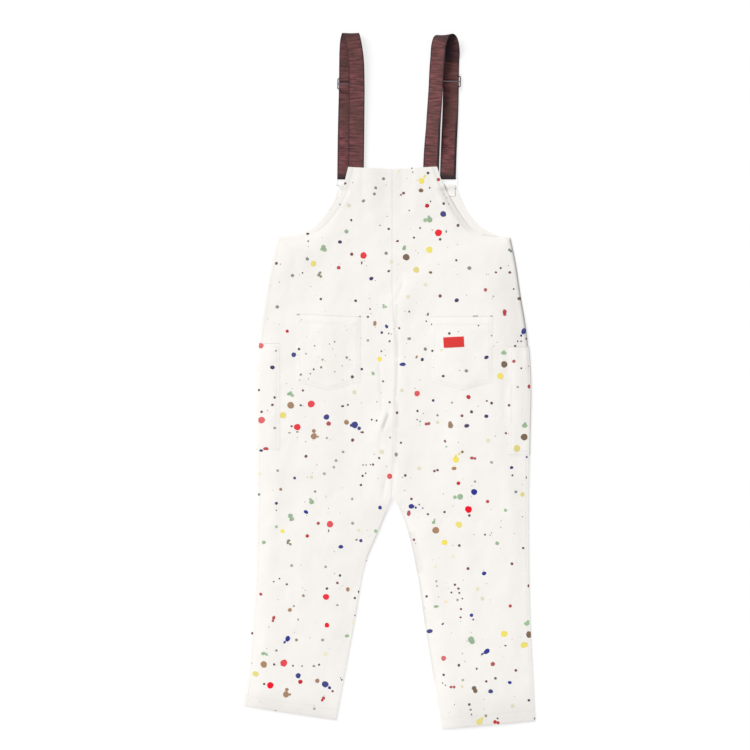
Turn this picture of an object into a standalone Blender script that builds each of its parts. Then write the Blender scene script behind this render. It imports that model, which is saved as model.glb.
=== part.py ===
"""Paint-spattered bib overalls laid flat on their front: every piece that is cut and sewn on.

Frame: metres, +Z up. The garment lies on the plane z = 0 with its back uppermost, its straps
towards +Y and its hems towards -Y, and the origin is under the middle of the whole.
The tables are in millimetres, one row for each section or fold, and MM turns them into metres.
Left and right are the wearer's, so left is at -X.
"""

import math

import bmesh
import bpy
import numpy as np
from mathutils import Vector
from mathutils.bvhtree import BVHTree

MM = 0.001

# Driving sizes, in millimetres
CLOTH = 1.2  # the cotton, with its turned edges averaged in
GAP = 0.3  # between pieces that are sewn together or touch
CROWN = 3.4  # how far the back stands off the front between its seams
RIM = 45.0  # how far in from a seam the back reaches that height
SEAT = 0.42  # clearance of a piece that lies on a curved panel
WEBBING = 1.4
STRAP_WIDTH = 36.5
STRAP_LIFT = 6.6  # how far the sewn strap ends and rings lift the top of the back
WIRE = 2.0  # diameter of the ring's wire
RING_INNER = 38.0
RING_PITCH = 16.6  # from one long bar of the ring to the other
RING_Y = (450.0, 466.6)  # the bar in the tab, and the bar in the strap
TAB_WIDTH = 29.0
TAB_CLOTH = 1.0
SLIDER_PLATE = 1.3
SLIDER_BAR = 2.6
SLIDER_SLOT = (38.8, 9.4)
SLIDER_SIZE = (44.4, 26.6)
SLIDER_Z = 4.6
WEAVE_PITCH = 12.0  # from the slider's middle bar to an outer one
WEAVE_RISE = 6.1  # how far the webbing climbs over the outer bars
PLY_PITCH = 1.75  # from the middle of one ply of webbing to the next
TAIL = 46.0  # the free end above the slider
BACK_COLUMNS = (0, 0.035, 0.11, 0.25, 0.42, 0.6, 0.76, 0.87, 0.94, 1)
FRONT_COLUMNS = (0, 0.06, 0.3, 0.45, 0.7, 1)

# The seam in the middle, from the top of the back to the fork: x, y
MIDDLE_SEAM = (
    (6, 487), (6, 452), (6, 417), (6, 382), (6, 348), (6, 314), (6, 284), (6, 256),
    (6, 210), (9, 164), (13, 84), (13, -8), (8, -135), (5, -264),
)
FORK = 13  # row of the fork
UNDERARM = 7  # row of the underarm corner

# Each leg's inner edge below the fork: x, y
INSEAM = {
    "left": ((-6, -296), (-24, -342), (-54, -413), (-79, -542), (-103, -671), (-123, -779)),
    "right": ((22, -291), (41, -342), (64, -445), (81, -560), (102, -687), (121, -800)),
}

# The outer edge of the back, from its top corner by the armhole and the side to the hem: x, y
BACK_EDGE = {
    "left": (
        (-95, 492), (-101, 468), (-109, 440), (-123, 410), (-143, 382), (-168, 357), (-206, 339),
        (-258, 331), (-271, 274), (-284, 196), (-298, 106), (-305, 3), (-306, -135), (-305, -273),
        (-306, -301), (-307, -342), (-308, -411), (-315, -537), (-324, -652), (-335, -746),
    ),
    "right": (
        (109, 493), (118, 465), (132, 435), (148, 405), (166, 378), (185, 355), (210, 341),
        (278, 331), (290, 274), (301, 201), (315, 113), (323, 3), (321, -135), (320, -264),
        (320, -294), (320, -342), (321, -445), (324, -560), (330, -687), (335, -781),
    ),
}

# The front's bib is lower and wider than the back's. Its edge down to the underarm: x, y
FRONT_EDGE = {
    "left": (
        (-117, 445), (-123, 431), (-132, 411), (-150, 382), (-174, 355), (-206, 337), (-233, 332),
    ),
    "right": (
        (155, 445), (161, 428), (174, 399), (197, 367), (222, 347), (236, 340), (248, 335),
    ),
}
FRONT_MIDDLE_Y = (442, 427, 408, 384, 354, 320, 286)

# Folds of the seat and the fork, on the back: from x, y to x, y, their height and half width
FOLDS = (
    (10, 190, 13, 20, 1.6, 26),
    (13, 20, 8, -120, 2.4, 30),
    (-4, -70, -24, -132, 1.8, 24),
    (22, -150, 24, -245, 1.8, 24),
    (-16, -165, -22, -235, 1.3, 26),
    (45, 225, 26, 130, 1.4, 26),
)

# Pockets sewn on the seat: left and right edge, their tops' y, the sides' lowest y, the point
BACK_POCKETS = {
    "left": (-214, -66, 156, 149, -2, (-140, -22)),
    "right": (95, 237, 150, 150, -2, (165, -22)),
}
POCKET_COLUMNS = 6
POCKET_ROWS = 5

# The label on the right pocket: x, y, width, height, turn in degrees
LABEL = (147, 90, 47, 24, 2.8)
LABEL_CLOTH = 1.0

# Pockets round the side seams: top y, bottom y, inner edge on the back, inner edge on the front
SIDE_POCKETS = {"left": (88, -158, -251, -195), "right": (80, -170, 271, 213)}
SIDE_POCKET_LIFT = 1.7  # how far the front is raised over the ply that lies under it
SIDE_ROWS = 9

# The straps, each one band. Upper run, from the end sewn under the back: x, y, z, roll in degrees
UPPER_RUN = {
    "left": (
        (-77.5, 452, 7.05, 0), (-77.2, 494, 7.1, 0), (-76.3, 560, 8.9, 0), (-75.8, 620, 10.8, 0),
        (-75.5, 683, 12.8, 0), (-78, 745, 16.4, 0),
    ),
    "right": (
        (95, 452, 7.05, 0), (95.5, 494, 7.1, 0), (99, 580, 12.5, 25), (104, 670, 16.0, 30),
        (107, 737, 20.0, 28),
    ),
}
# The turn at the shoulder: middle x, y, z, radius, the roll of its axis, the shift along its axis
SHOULDER = {
    "left": (-90, 788.6, 9.9, 9.2, 0, -8),
    "right": (127.5, 780.5, 16.9, 12.0, 24, 16),
}
# Lower run, from below the shoulder to the ring: x, y, z, roll in degrees
LOWER_RUN = {
    "left": (
        (-97, 760, 0.7, 0), (-97.5, 735, 0.7, 0), (-98, 683, 0.7, 0), (-99.5, 624, 0.7, 0),
        (-101, 555, 0.7, 0), (-102, 466.6, 0.7, 0),
    ),
    "right": (
        (143.6, 759, 6.0, 13), (143, 737, 0.7, 0), (142.4, 716, 0.7, 0), (141.6, 681, 0.7, 0),
        (140.2, 631, 0.7, 0), (136.6, 543, 0.7, 0), (134, 466.6, 0.7, 0),
    ),
}
SLIDER_Y = {"left": 683.0, "right": 689.0}
TAB_X = {"left": -101.0, "right": 136.5}

# Finishes: linear red, green, blue, then roughness and metallic
FINISHES = {
    "cotton": ((0.86, 0.84, 0.82), 0.9, 0.0),
    "webbing": ((0.145, 0.052, 0.045), 0.85, 0.0),
    "label": ((0.62, 0.03, 0.04), 0.8, 0.0),
    "metal": ((0.72, 0.71, 0.7), 0.28, 1.0),
}


def clear_scene():
    for obj in list(bpy.data.objects):
        bpy.data.objects.remove(obj, do_unlink=True)


def finish(name, kind):
    """A Principled material for one object."""
    colour, roughness, metallic = FINISHES[kind]
    material = bpy.data.materials.new(f"{name}_{kind}")
    material.use_nodes = True
    shader = material.node_tree.nodes["Principled BSDF"]
    shader.inputs["Base Color"].default_value = (*colour, 1.0)
    shader.inputs["Roughness"].default_value = roughness
    shader.inputs["Metallic"].default_value = metallic
    return material


def add_object(name, data, kind):
    obj = bpy.data.objects.new(name, data)
    obj.data.materials.append(finish(name, kind))
    bpy.context.scene.collection.objects.link(obj)
    return obj


def ease(value):
    """0 below 0, 1 above 1, and a smooth step between."""
    t = np.clip(value, 0.0, 1.0)
    return t * t * (3.0 - 2.0 * t)


def track(points, sharp=(), steps=2):
    """A smooth curve through the points, with a corner at each row that sharp names."""
    p = np.array(points, float)
    chord = np.diff(p, axis=0)
    length = np.linalg.norm(chord, axis=1, keepdims=True)
    way = chord / length
    joined = way[:-1] * length[1:] + way[1:] * length[:-1]
    joined /= np.linalg.norm(joined, axis=1, keepdims=True)
    leave = np.vstack([way[:1], joined])
    arrive = np.vstack([joined, way[-1:]])
    for row in sharp:
        leave[row] = way[row]
        arrive[row - 1] = way[row - 1]
    t = (np.arange(steps) / steps)[None, :, None]
    start, end = p[:-1, None], p[1:, None]
    out, into = (leave * length)[:, None], (arrive * length)[:, None]
    curve = (
        (2 * t**3 - 3 * t**2 + 1) * start
        + (t**3 - 2 * t**2 + t) * out
        + (3 * t**2 - 2 * t**3) * end
        + (t**3 - t**2) * into
    )
    return np.vstack([curve.reshape(-1, p.shape[1]), p[-1:]])


def normals(grid):
    """Unit normals of a grid of points, from the directions along its rows and columns."""
    down = np.gradient(grid, axis=0)
    across = np.gradient(grid, axis=1)
    normal = np.cross(across, down)
    return normal / np.linalg.norm(normal, axis=2, keepdims=True)


def wall(name, grid, thickness, kind="cotton"):
    """A closed wall whose middle surface is the grid, in millimetres: half its thickness each way."""
    rows, columns = grid.shape[:2]
    half = normals(grid) * thickness / 2
    points = np.vstack([(grid + half).reshape(-1, 3), (grid - half).reshape(-1, 3)])
    points[:, 2] = np.maximum(points[:, 2], 0.0)
    count = rows * columns

    def at(row, column, side):
        return side * count + row * columns + column

    faces = []
    for row in range(rows - 1):
        for column in range(columns - 1):
            quad = ((row, column), (row, column + 1), (row + 1, column + 1), (row + 1, column))
            faces.append([at(*corner, 0) for corner in quad])
            faces.append([at(*corner, 1) for corner in reversed(quad)])
    border = [(0, column) for column in range(columns)]
    border += [(row, columns - 1) for row in range(1, rows)]
    border += [(rows - 1, column) for column in range(columns - 2, -1, -1)]
    border += [(row, 0) for row in range(rows - 2, 0, -1)]
    for here, there in zip(border, border[1:] + border[:1]):
        faces.append([at(*here, 0), at(*here, 1), at(*there, 1), at(*there, 0)])
    mesh = bpy.data.meshes.new(name)
    mesh.from_pydata((points * MM).tolist(), [], faces)
    work = bmesh.new()
    work.from_mesh(mesh)
    bmesh.ops.triangulate(work, faces=work.faces[:], quad_method="SHORT_EDGE")
    bmesh.ops.recalc_face_normals(work, faces=work.faces[:])
    work.to_mesh(mesh)
    work.free()
    return add_object(name, mesh, kind)


def surface_under(objects):
    """A function giving the highest z, in millimetres, that the objects reach at each x, y."""
    trees = []
    for obj in objects:
        mesh = obj.data
        corners = [vertex.co.copy() for vertex in mesh.vertices]
        trees.append(BVHTree.FromPolygons(corners, [face.vertices[:] for face in mesh.polygons]))

    def height(x, y):
        hits = [tree.ray_cast(Vector((x * MM, y * MM, 1.0)), Vector((0, 0, -1)))[0] for tree in trees]
        found = [hit.z / MM for hit in hits if hit is not None]
        return max(found) if found else None

    return height


# ---------------------------------------------------------------- the panels


def rim(distance):
    """0 at a seam, rounding up to 1 at RIM from it."""
    inside = np.clip(distance / RIM, 0.0, 1.0)
    return np.sqrt(1.0 - (1.0 - inside) ** 2)


def pocket_lift(x, y):
    """How far a side pocket's lower ply raises what lies on it."""
    lift = np.zeros_like(x)
    for side, (top, bottom, _, inner) in SIDE_POCKETS.items():
        inward = (inner - x) * math.copysign(1.0, inner)
        beyond = np.maximum(y - top, bottom - y)
        lift += (1 - ease((inward - 45) / 60)) * (1 - ease((beyond - 35) / 60))
    return SIDE_POCKET_LIFT * lift


def fold_height(x, y):
    """The folds: each a soft ridge along its line, fading at both ends."""
    height = np.zeros_like(x)
    for x0, y0, x1, y1, rise, half in FOLDS:
        length = math.hypot(x1 - x0, y1 - y0)
        along = ((x - x0) * (x1 - x0) + (y - y0) * (y1 - y0)) / length
        aside = ((x - x0) * (y1 - y0) - (y - y0) * (x1 - x0)) / length
        ends = ease((along + 25) / 50) * ease((length + 25 - along) / 50)
        height += rise * ends * np.exp(-((aside / half) ** 2))
    return height


def bib(y):
    """0 in the body and 1 at the top of the bib, where the straps lift it."""
    return ease((y - 335) / 90)


def back_height(x, y, from_side, from_middle):
    """Underside of the back: its seams lie on the front, and it is crowned between them."""
    leg = ease((-264 - y) / 60)
    crown = CROWN * rim(from_side) * (1 - leg * (1 - rim(from_middle)))
    near_strap = ease((-x - 5) / 40) + ease((x - 25) / 40)
    lift = STRAP_LIFT * bib(y) * (0.4 + 0.6 * near_strap)
    return CLOTH + GAP + pocket_lift(x, y) + crown * (1 - bib(y)) + lift + fold_height(x, y)


def panel_outline(edge, middle, side):
    """The outer and the inner edge of one panel, row by row."""
    inner = list(middle) + list(INSEAM[side])
    outer_line = track(edge, sharp=(UNDERARM,))
    inner_line = track(inner, sharp=(FORK,))
    shift = GAP / 2 if side == "right" else -GAP / 2
    inner_line[:, 0] += shift * (np.arange(len(inner_line)) <= 2 * FORK)
    return outer_line, inner_line


def panel_grid(outer_line, inner_line, columns):
    share = np.array(columns)[None, :, None]
    return outer_line[:, None] * (1 - share) + inner_line[:, None] * share


def make_back(side):
    outer_line, inner_line = panel_outline(BACK_EDGE[side], MIDDLE_SEAM, side)
    flat = panel_grid(outer_line, inner_line, BACK_COLUMNS)
    width = np.linalg.norm(inner_line - outer_line, axis=1)[:, None]
    share = np.array(BACK_COLUMNS)[None, :]
    x, y = flat[..., 0], flat[..., 1]
    z = back_height(x, y, width * share, width * (1 - share)) + CLOTH / 2
    return wall(f"back_{side}", np.dstack([x, y, z]), CLOTH)


def make_front(side):
    edge = FRONT_EDGE[side] + BACK_EDGE[side][UNDERARM:]
    middle = [(x, y) for (x, _), y in zip(MIDDLE_SEAM, FRONT_MIDDLE_Y)]
    middle += MIDDLE_SEAM[UNDERARM:]
    outer_line, inner_line = panel_outline(edge, middle, side)
    flat = panel_grid(outer_line, inner_line, FRONT_COLUMNS)
    x, y = flat[..., 0], flat[..., 1]
    z = pocket_lift(x, y) + CLOTH / 2
    return wall(f"front_{side}", np.dstack([x, y, z]), CLOTH)


# ---------------------------------------------------------------- what is sewn on


def laid_on(height, x, y, thickness):
    """The middle surface of a piece that lies on what height measures."""
    z = np.array([height(*place) for place in zip(x.ravel(), y.ravel())]).reshape(x.shape)
    return np.dstack([x, y, z + SEAT + thickness / 2])


def make_back_pocket(side, height):
    left, right, top_left, top_right, side_bottom, (point_x, point_y) = BACK_POCKETS[side]
    across = np.linspace(0, 1, POCKET_COLUMNS + 1)
    point = (point_x - left) / (right - left)
    top = top_left + (top_right - top_left) * across
    bottom = np.interp(across, (0, point, 1), (side_bottom, point_y, side_bottom))
    down = np.linspace(0, 1, POCKET_ROWS + 1)[:, None]
    x = np.broadcast_to(left + (right - left) * across, (len(down), len(across)))
    y = top * (1 - down) + bottom * down
    return wall(f"pocket_back_{side}", laid_on(height, x, y, CLOTH), CLOTH)


def make_label(height):
    x0, y0, width, tall, turn = LABEL
    across = np.linspace(-width / 2, width / 2, 4)[None, :]
    down = np.linspace(tall / 2, -tall / 2, 3)[:, None]
    angle = math.radians(turn)
    x = x0 + across * math.cos(angle) - down * math.sin(angle)
    y = y0 + across * math.sin(angle) + down * math.cos(angle)
    return wall("label", laid_on(height, x, y, LABEL_CLOTH), LABEL_CLOTH, "label")


def make_side_pocket(side, height):
    """One ply on the back, the turn round the side seam, and one ply under the front."""
    top, bottom, inner_back, inner_front = SIDE_POCKETS[side]
    sign = math.copysign(1.0, inner_back)
    outer_line, inner_line = panel_outline(BACK_EDGE[side], MIDDLE_SEAM, side)
    order = np.argsort(outer_line[:, 1])
    rows = []
    for y in np.linspace(top, bottom, SIDE_ROWS):
        edge = np.interp(y, outer_line[order, 1], outer_line[order, 0])
        middle = np.interp(y, inner_line[::-1, 1], inner_line[::-1, 0])
        columns = [edge + share * (middle - edge) for share in BACK_COLUMNS[2:0:-1]]
        upper = np.array([inner_back, *columns, edge - sign * 1.5])
        z = np.array([height(x, y) for x in upper]) + SEAT + CLOTH / 2
        rim_z = z[-1]
        turn_x = edge + sign * np.array([0.6, 1.5, 1.8, 1.5, 0.6])
        turn_z = np.array([rim_z - 0.15, rim_z - 0.9, (rim_z + CLOTH / 2) / 2, 1.5, 0.75])
        lower = np.linspace(edge - sign * 1.5, inner_front, 4)
        x = np.concatenate([upper, turn_x, lower])
        z = np.concatenate([z, turn_z, np.full(len(lower), CLOTH / 2)])
        rows.append(np.column_stack([x, np.full(len(x), y), z]))
    return wall(f"pocket_side_{side}", np.array(rows), CLOTH)


# ---------------------------------------------------------------- straps and metal


def lower_x(side, y):
    """The x of the lower run's middle at each y."""
    run = np.array(LOWER_RUN[side])[::-1]
    return np.interp(y, run[:, 1], run[:, 0])


def shoulder(side):
    """The turn at the shoulder: a half circle about an axis that rolls, drifting along it."""
    x, y, z, radius, roll, shift = SHOULDER[side]
    angle = math.radians(roll)
    axis = np.array([math.cos(angle), 0.0, math.sin(angle)])
    out = np.array([-math.sin(angle), 0.0, math.cos(angle)])
    turn = np.linspace(0, math.pi, 13)[:, None]
    around = radius * (np.cos(turn) * out + np.sin(turn) * np.array([0.0, 1.0, 0.0]))
    return np.array([x, y, z]) + around + axis * shift * (turn / math.pi - 0.5)


def slider_lean(side):
    """How far the strap leans in plan where it passes the slider: x for each y."""
    y = SLIDER_Y[side]
    return float(lower_x(side, y + 25) - lower_x(side, y - 25)) / 50


def band_frame(route, roll, lean):
    """The direction across a band and the one out of its face, at each point of its route."""
    ahead = np.gradient(route, axis=0)
    ahead /= np.linalg.norm(ahead, axis=1, keepdims=True)
    axis = np.column_stack([np.cos(roll), -lean * np.cos(roll), np.sin(roll)])
    across = axis - (axis * ahead).sum(axis=1, keepdims=True) * ahead
    across /= np.linalg.norm(across, axis=1, keepdims=True)
    return across, np.cross(across, ahead)


def weave(y):
    """How far the webbing climbs over the slider's outer bars, at a distance from its middle."""
    inside = np.abs(y) < 2 * WEAVE_PITCH
    return np.where(inside, WEAVE_RISE * np.sin(math.pi * y / (2 * WEAVE_PITCH)) ** 2, 0.0)


def first_ply(side, turn):
    """From the end of the turn to the ring, climbing through the slider."""
    steps = 8
    rows = np.array([[*turn[-1], SHOULDER[side][4]], *LOWER_RUN[side]])
    line = track([turn[-2], *rows[:, :3]], steps=steps)[steps:]
    slider = SLIDER_Y[side]
    reach = 2 * WEAVE_PITCH
    near = slider + np.linspace(reach, -reach, 21)
    keep = np.abs(line[:, 1] - slider) > reach + 4
    keep &= (line[:, 1] > slider) | (np.arange(len(line)) % 4 == 0)
    y = np.sort(np.concatenate([line[keep, 1], near]))[::-1]
    order = slice(None, None, -1)
    x = np.interp(y, line[order, 1], line[order, 0])
    z = np.interp(y, line[order, 1], line[order, 2]) + weave(y - slider)
    roll = np.interp(y, rows[order, 1], rows[order, 3])
    return np.column_stack([x, y, z])[1:], roll[1:]


def strap_route(side):
    """The webbing's middle line and its roll, from the end under the back to the free end."""
    rows = np.array(UPPER_RUN[side])
    turn = shoulder(side)
    steps = 5
    upper = track([*rows[:, :3], *turn[:2]], steps=steps)[: -steps - 1]
    roll = SHOULDER[side][4]
    upper_roll = np.interp(
        np.arange(len(upper)) / steps, np.arange(len(rows) + 1), [*rows[:, 3], roll]
    )
    ply_one, one_roll = first_ply(side, turn)

    bend = np.linspace(-math.pi / 2, -3 * math.pi / 2, 9)[1:-1]
    radius = WIRE / 2 + GAP + WEBBING / 2
    ring_turn = np.column_stack([
        np.full(len(bend), ply_one[-1, 0]),
        RING_Y[1] + radius * np.cos(bend),
        WEBBING / 2 + radius * (1 + np.sin(bend)),
    ])
    lean = slider_lean(side) * ease((ply_one[:, 1] - RING_Y[1]) / 60)
    up = -band_frame(ply_one, np.radians(one_roll), lean)[1]
    apart = PLY_PITCH + (2 * radius - PLY_PITCH) * (1 - ease((ply_one[:, 1] - RING_Y[1]) / 34))
    folded = ply_one[:, 1] < SLIDER_Y[side] + TAIL
    ply_two = (ply_one + up * apart[:, None])[folded][::-1]
    route = np.vstack([upper, turn, ply_one, ring_turn, ply_two])
    rolls = [upper_roll, np.full(len(turn), roll), one_roll, np.zeros(len(bend))]
    rolls.append(one_roll[folded][::-1])
    leans = [np.zeros(len(upper) + len(turn)), lean, np.zeros(len(bend)), lean[folded][::-1]]
    return route, np.radians(np.concatenate(rolls)), np.concatenate(leans)


def make_strap(side):
    """A flat band along its route."""
    route, roll, lean = strap_route(side)
    across = band_frame(route, roll, lean)[0] * STRAP_WIDTH / 2
    grid = np.stack([route - across, route + across], axis=1)
    return wall(f"strap_{side}", grid, WEBBING, "webbing")


def rounded_rectangle(width, height, radius, arc=4):
    """Points round a rectangle with round corners, centred on the origin."""
    points = []
    for index, (sx, sy) in enumerate(((1, 1), (-1, 1), (-1, -1), (1, -1))):
        for step in range(arc + 1):
            angle = math.pi / 2 * (index + step / arc)
            points.append((
                sx * (width / 2 - radius) + radius * math.cos(angle),
                sy * (height / 2 - radius) + radius * math.sin(angle),
            ))
    return points


def make_slider(side):
    """A flat plate with two slots, so that three bars cross the strap."""
    slot_width, slot_height = SLIDER_SLOT
    slot_y = (SLIDER_BAR + slot_height) / 2
    work = bmesh.new()
    loops = [(rounded_rectangle(*SLIDER_SIZE, 4.0), 0.0)]
    loops += [(rounded_rectangle(slot_width, slot_height, 1.0, 2), y) for y in (-slot_y, slot_y)]
    edges = []
    for points, lift in loops:
        ring = [work.verts.new((x * MM, (y + lift) * MM, -SLIDER_PLATE / 2 * MM)) for x, y in points]
        edges += [work.edges.new(pair) for pair in zip(ring, ring[1:] + ring[:1])]
    bmesh.ops.triangle_fill(work, edges=edges, use_beauty=True)
    raised = bmesh.ops.extrude_face_region(work, geom=work.faces[:])["geom"]
    top = [item for item in raised if isinstance(item, bmesh.types.BMVert)]
    bmesh.ops.translate(work, verts=top, vec=(0, 0, SLIDER_PLATE * MM))
    bmesh.ops.recalc_face_normals(work, faces=work.faces[:])
    mesh = bpy.data.meshes.new(f"slider_{side}")
    work.to_mesh(mesh)
    work.free()
    slider = add_object(f"slider_{side}", mesh, "metal")
    y = SLIDER_Y[side]
    x = float(lower_x(side, y))
    slider.location = (x * MM, y * MM, SLIDER_Z * MM)
    slider.rotation_euler = (0, 0, -math.atan(slider_lean(side)))
    return slider


def make_ring(side):
    """A rectangular ring of wire, its upper bar in the strap and its lower bar in the tab."""
    x = float(lower_x(side, RING_Y[1]))
    z = WEBBING / 2 + WIRE / 2 + GAP + WEBBING / 2
    curve = bpy.data.curves.new(f"ring_{side}", "CURVE")
    curve.dimensions = "3D"
    curve.bevel_depth = WIRE / 2 * MM
    curve.bevel_resolution = 2
    points = rounded_rectangle(RING_INNER + WIRE, RING_PITCH, 1.6, 3)
    spline = curve.splines.new("POLY")
    spline.points.add(len(points) - 1)
    for target, (px, py) in zip(spline.points, points):
        target.co = (px * MM, py * MM, 0.0, 1.0)
    spline.use_cyclic_u = True
    ring = add_object(f"ring_{side}", curve, "metal")
    ring.location = (x * MM, sum(RING_Y) / 2 * MM, z * MM)
    return ring


def make_tab(side):
    """A folded strip that holds the ring to the corner of the front."""
    bar_y = RING_Y[0]
    bar_z = WEBBING + WIRE / 2 + GAP
    radius = WIRE / 2 + GAP + TAB_CLOTH / 2
    low = bar_z - radius
    bend = np.linspace(-math.pi / 2, math.pi / 2, 7)
    seat_z = CLOTH + GAP + TAB_CLOTH / 2
    route = [(446.0, low), *zip(bar_y + radius * np.cos(bend), bar_z + radius * np.sin(bend))]
    route += [(446.5, 4.0), (442.5, 2.6), (439.0, seat_z), (426.0, seat_z)]
    y, z = np.array(route).T
    x = TAB_X[side] + np.array([-0.5, 0.0, 0.5]) * TAB_WIDTH
    grid = np.stack([np.column_stack([np.full(len(y), at), y, z]) for at in x], axis=1)
    return wall(f"tab_{side}", grid, TAB_CLOTH)


def main():
    clear_scene()
    sides = ("left", "right")
    for side in sides:
        make_front(side)
    backs = {side: make_back(side) for side in sides}
    on_back = {side: surface_under([backs[side]]) for side in sides}
    pockets = {side: make_back_pocket(side, on_back[side]) for side in sides}
    make_label(surface_under([pockets["right"]]))
    for side in sides:
        make_side_pocket(side, on_back[side])
        make_strap(side)
        make_slider(side)
        make_ring(side)
        make_tab(side)


main()
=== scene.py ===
"""Paint-spattered bib overalls laid flat on their front: cloth, webbing, metal, stitching and print.

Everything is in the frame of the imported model: metres, +Z up, the garment lying on z = 0 with its
back uppermost and its straps towards +Y. Tables are in millimetres and MM turns them into metres.
Left and right are the wearer's, so left is at -X.
"""

import math

import bpy
import numpy as np
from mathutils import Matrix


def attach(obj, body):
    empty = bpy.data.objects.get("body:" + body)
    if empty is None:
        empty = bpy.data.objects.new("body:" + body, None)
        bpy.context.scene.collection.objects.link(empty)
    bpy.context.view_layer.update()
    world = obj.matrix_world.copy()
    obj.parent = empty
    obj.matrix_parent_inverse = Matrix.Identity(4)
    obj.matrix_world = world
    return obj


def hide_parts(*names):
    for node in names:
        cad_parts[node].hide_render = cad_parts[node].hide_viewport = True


bl_info = {
    "name": "Paint-spattered overalls",
    "version": (1, 0, 0),
    "blender": (4, 5, 0),
    "location": "3D View > Sidebar > Overalls",
    "description": "Bib overalls laid flat, with their pockets, straps, metal, stitching and print",
    "category": "Object",
}

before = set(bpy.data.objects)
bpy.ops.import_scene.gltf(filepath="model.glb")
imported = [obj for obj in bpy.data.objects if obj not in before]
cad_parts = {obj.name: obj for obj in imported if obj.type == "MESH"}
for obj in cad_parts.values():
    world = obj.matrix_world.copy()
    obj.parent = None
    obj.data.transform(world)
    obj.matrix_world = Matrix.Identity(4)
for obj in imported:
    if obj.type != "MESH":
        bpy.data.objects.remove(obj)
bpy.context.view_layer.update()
MM = 0.001
TURN = 2 * math.pi
SIDES = ("left", "right")

# ---------------------------------------------------------------- the cut, in millimetres

# A ply of cloth and the air under it, a pocket's ply and the air under that, a back pocket's fullness
CLOTH = 1.2
GAP = 0.3
POCKET_CLOTH = 0.5
SEWN_GAP = 0.1
POCKET_FULL = 0.45

# A panel's crown, how far from a seam it is reached, and how much farther where the cloth lies flat
CROWN = 3.4
RIM = 45.0
FLAT_RIM = 60.0

# How far the straps lift the bib, the y where that starts, and over what distance it comes
STRAP_LIFT = 6.6
BIB_FOOT = 335
BIB_RISE = 90

# The y of the underarms and of the fork, the turned hem, and the groove along the middle seam
UNDERARM_Y = 331
FORK_Y = -264
HEM = 25.0
GROOVE_DEPTH = 0.12
GROOVE_HALF = 2.2

# Waves where nothing holds the cloth flat: height, pitch, seed
BACK_WAVES = ((0.75, 70, 1), (0.45, 31, 2), (0.16, 12, 3))
FRONT_WAVES = ((0.9, 60, 11), (0.35, 24, 12))
POCKET_WAVE = (0.25, 30, 7)
LATTICE = 64
LATTICE_SHIFT = 1000.0

# How far round its ends a line of each kind fades out
FOLD_FADE = 25
CREASE_FADE = 16
SHADE_LINE_FADE = 3
SHADE_AREA_FADE = 60

# Rows of stitches, by their distance from an edge, and how finely a row is cut
SEAM_ROW = 7.0
ARMHOLE_ROW = 11.0
TOP_ROW = 13.0
HEM_ROW = 24.0
POCKET_ROWS = (2.0, 8.5)
POCKET_HEM = 20.0
CUT_STEP = 4.0

# Where rows start and stop along their lines; a length below 0 counts from a line's far end
SEAM_ENDS = (4, -6)
ARMHOLE_ENDS = (12, -12)
HEM_ENDS = (7, -3)
TOP_ENDS = (7, -2)
POCKET_ENDS = (1, -1)
POCKET_HEM_ENDS = (3, -3)
SIDE_POCKET_ENDS = (0.5, -0.5)

# How far below its mouth a pocket's rows begin, and how far short of the side seam they stop
MOUTH_START = 1.5
SEAM_STOP = 4

# The rows of the outline's points at the fork and the underarm, and the steps between two rows
FORK = 13
UNDERARM = 7
STEPS = 4

# Fineness: a panel's steps between two rows, its columns, how far those gather at its edges; a back
# pocket's and the label's columns and rows; a side pocket's rows and its upper, turn and lower columns
BACK_GRID = (16, 100, 0.3)
FRONT_GRID = (10, 70, 0.0)
POCKET_GRID = (76, 84)
LABEL_GRID = (40, 22)
FLANK_GRID = (90, 34, 7, 26)

# The seam in the middle, from the top of the back to the fork: x, y
MIDDLE_SEAM = (
    (6, 487), (6, 452), (6, 417), (6, 382), (6, 348), (6, 314), (6, 284), (6, 256),
    (6, 210), (9, 164), (13, 84), (13, -8), (8, -135), (5, -264),
)

# Each leg's inner edge below the fork: x, y
INSEAM = {
    "left": ((-6, -296), (-24, -342), (-54, -413), (-79, -542), (-103, -671), (-123, -779)),
    "right": ((22, -291), (41, -342), (64, -445), (81, -560), (102, -687), (121, -800)),
}

# The back's outer edge, from its top corner by the armhole and the side to the hem: x, y
BACK_EDGE = {
    "left": (
        (-95, 492), (-101, 468), (-109, 440), (-123, 410), (-143, 382), (-168, 357), (-206, 339),
        (-258, 331), (-271, 274), (-284, 196), (-298, 106), (-305, 3), (-306, -135), (-305, -273),
        (-306, -301), (-307, -342), (-308, -411), (-315, -537), (-324, -652), (-335, -746),
    ),
    "right": (
        (109, 493), (118, 465), (132, 435), (148, 405), (166, 378), (185, 355), (210, 341),
        (278, 331), (290, 274), (301, 201), (315, 113), (323, 3), (321, -135), (320, -264),
        (320, -294), (320, -342), (321, -445), (324, -560), (330, -687), (335, -781),
    ),
}

# The front's edge from the corner of its bib down to the underarm, and its middle's y
FRONT_EDGE = {
    "left": (
        (-117, 445), (-123, 431), (-132, 411), (-150, 382), (-174, 355), (-206, 337), (-233, 332),
    ),
    "right": (
        (155, 445), (161, 428), (174, 399), (197, 367), (222, 347), (236, 340), (248, 335),
    ),
}
FRONT_MIDDLE_Y = (442, 427, 408, 384, 354, 320, 286)

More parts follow.
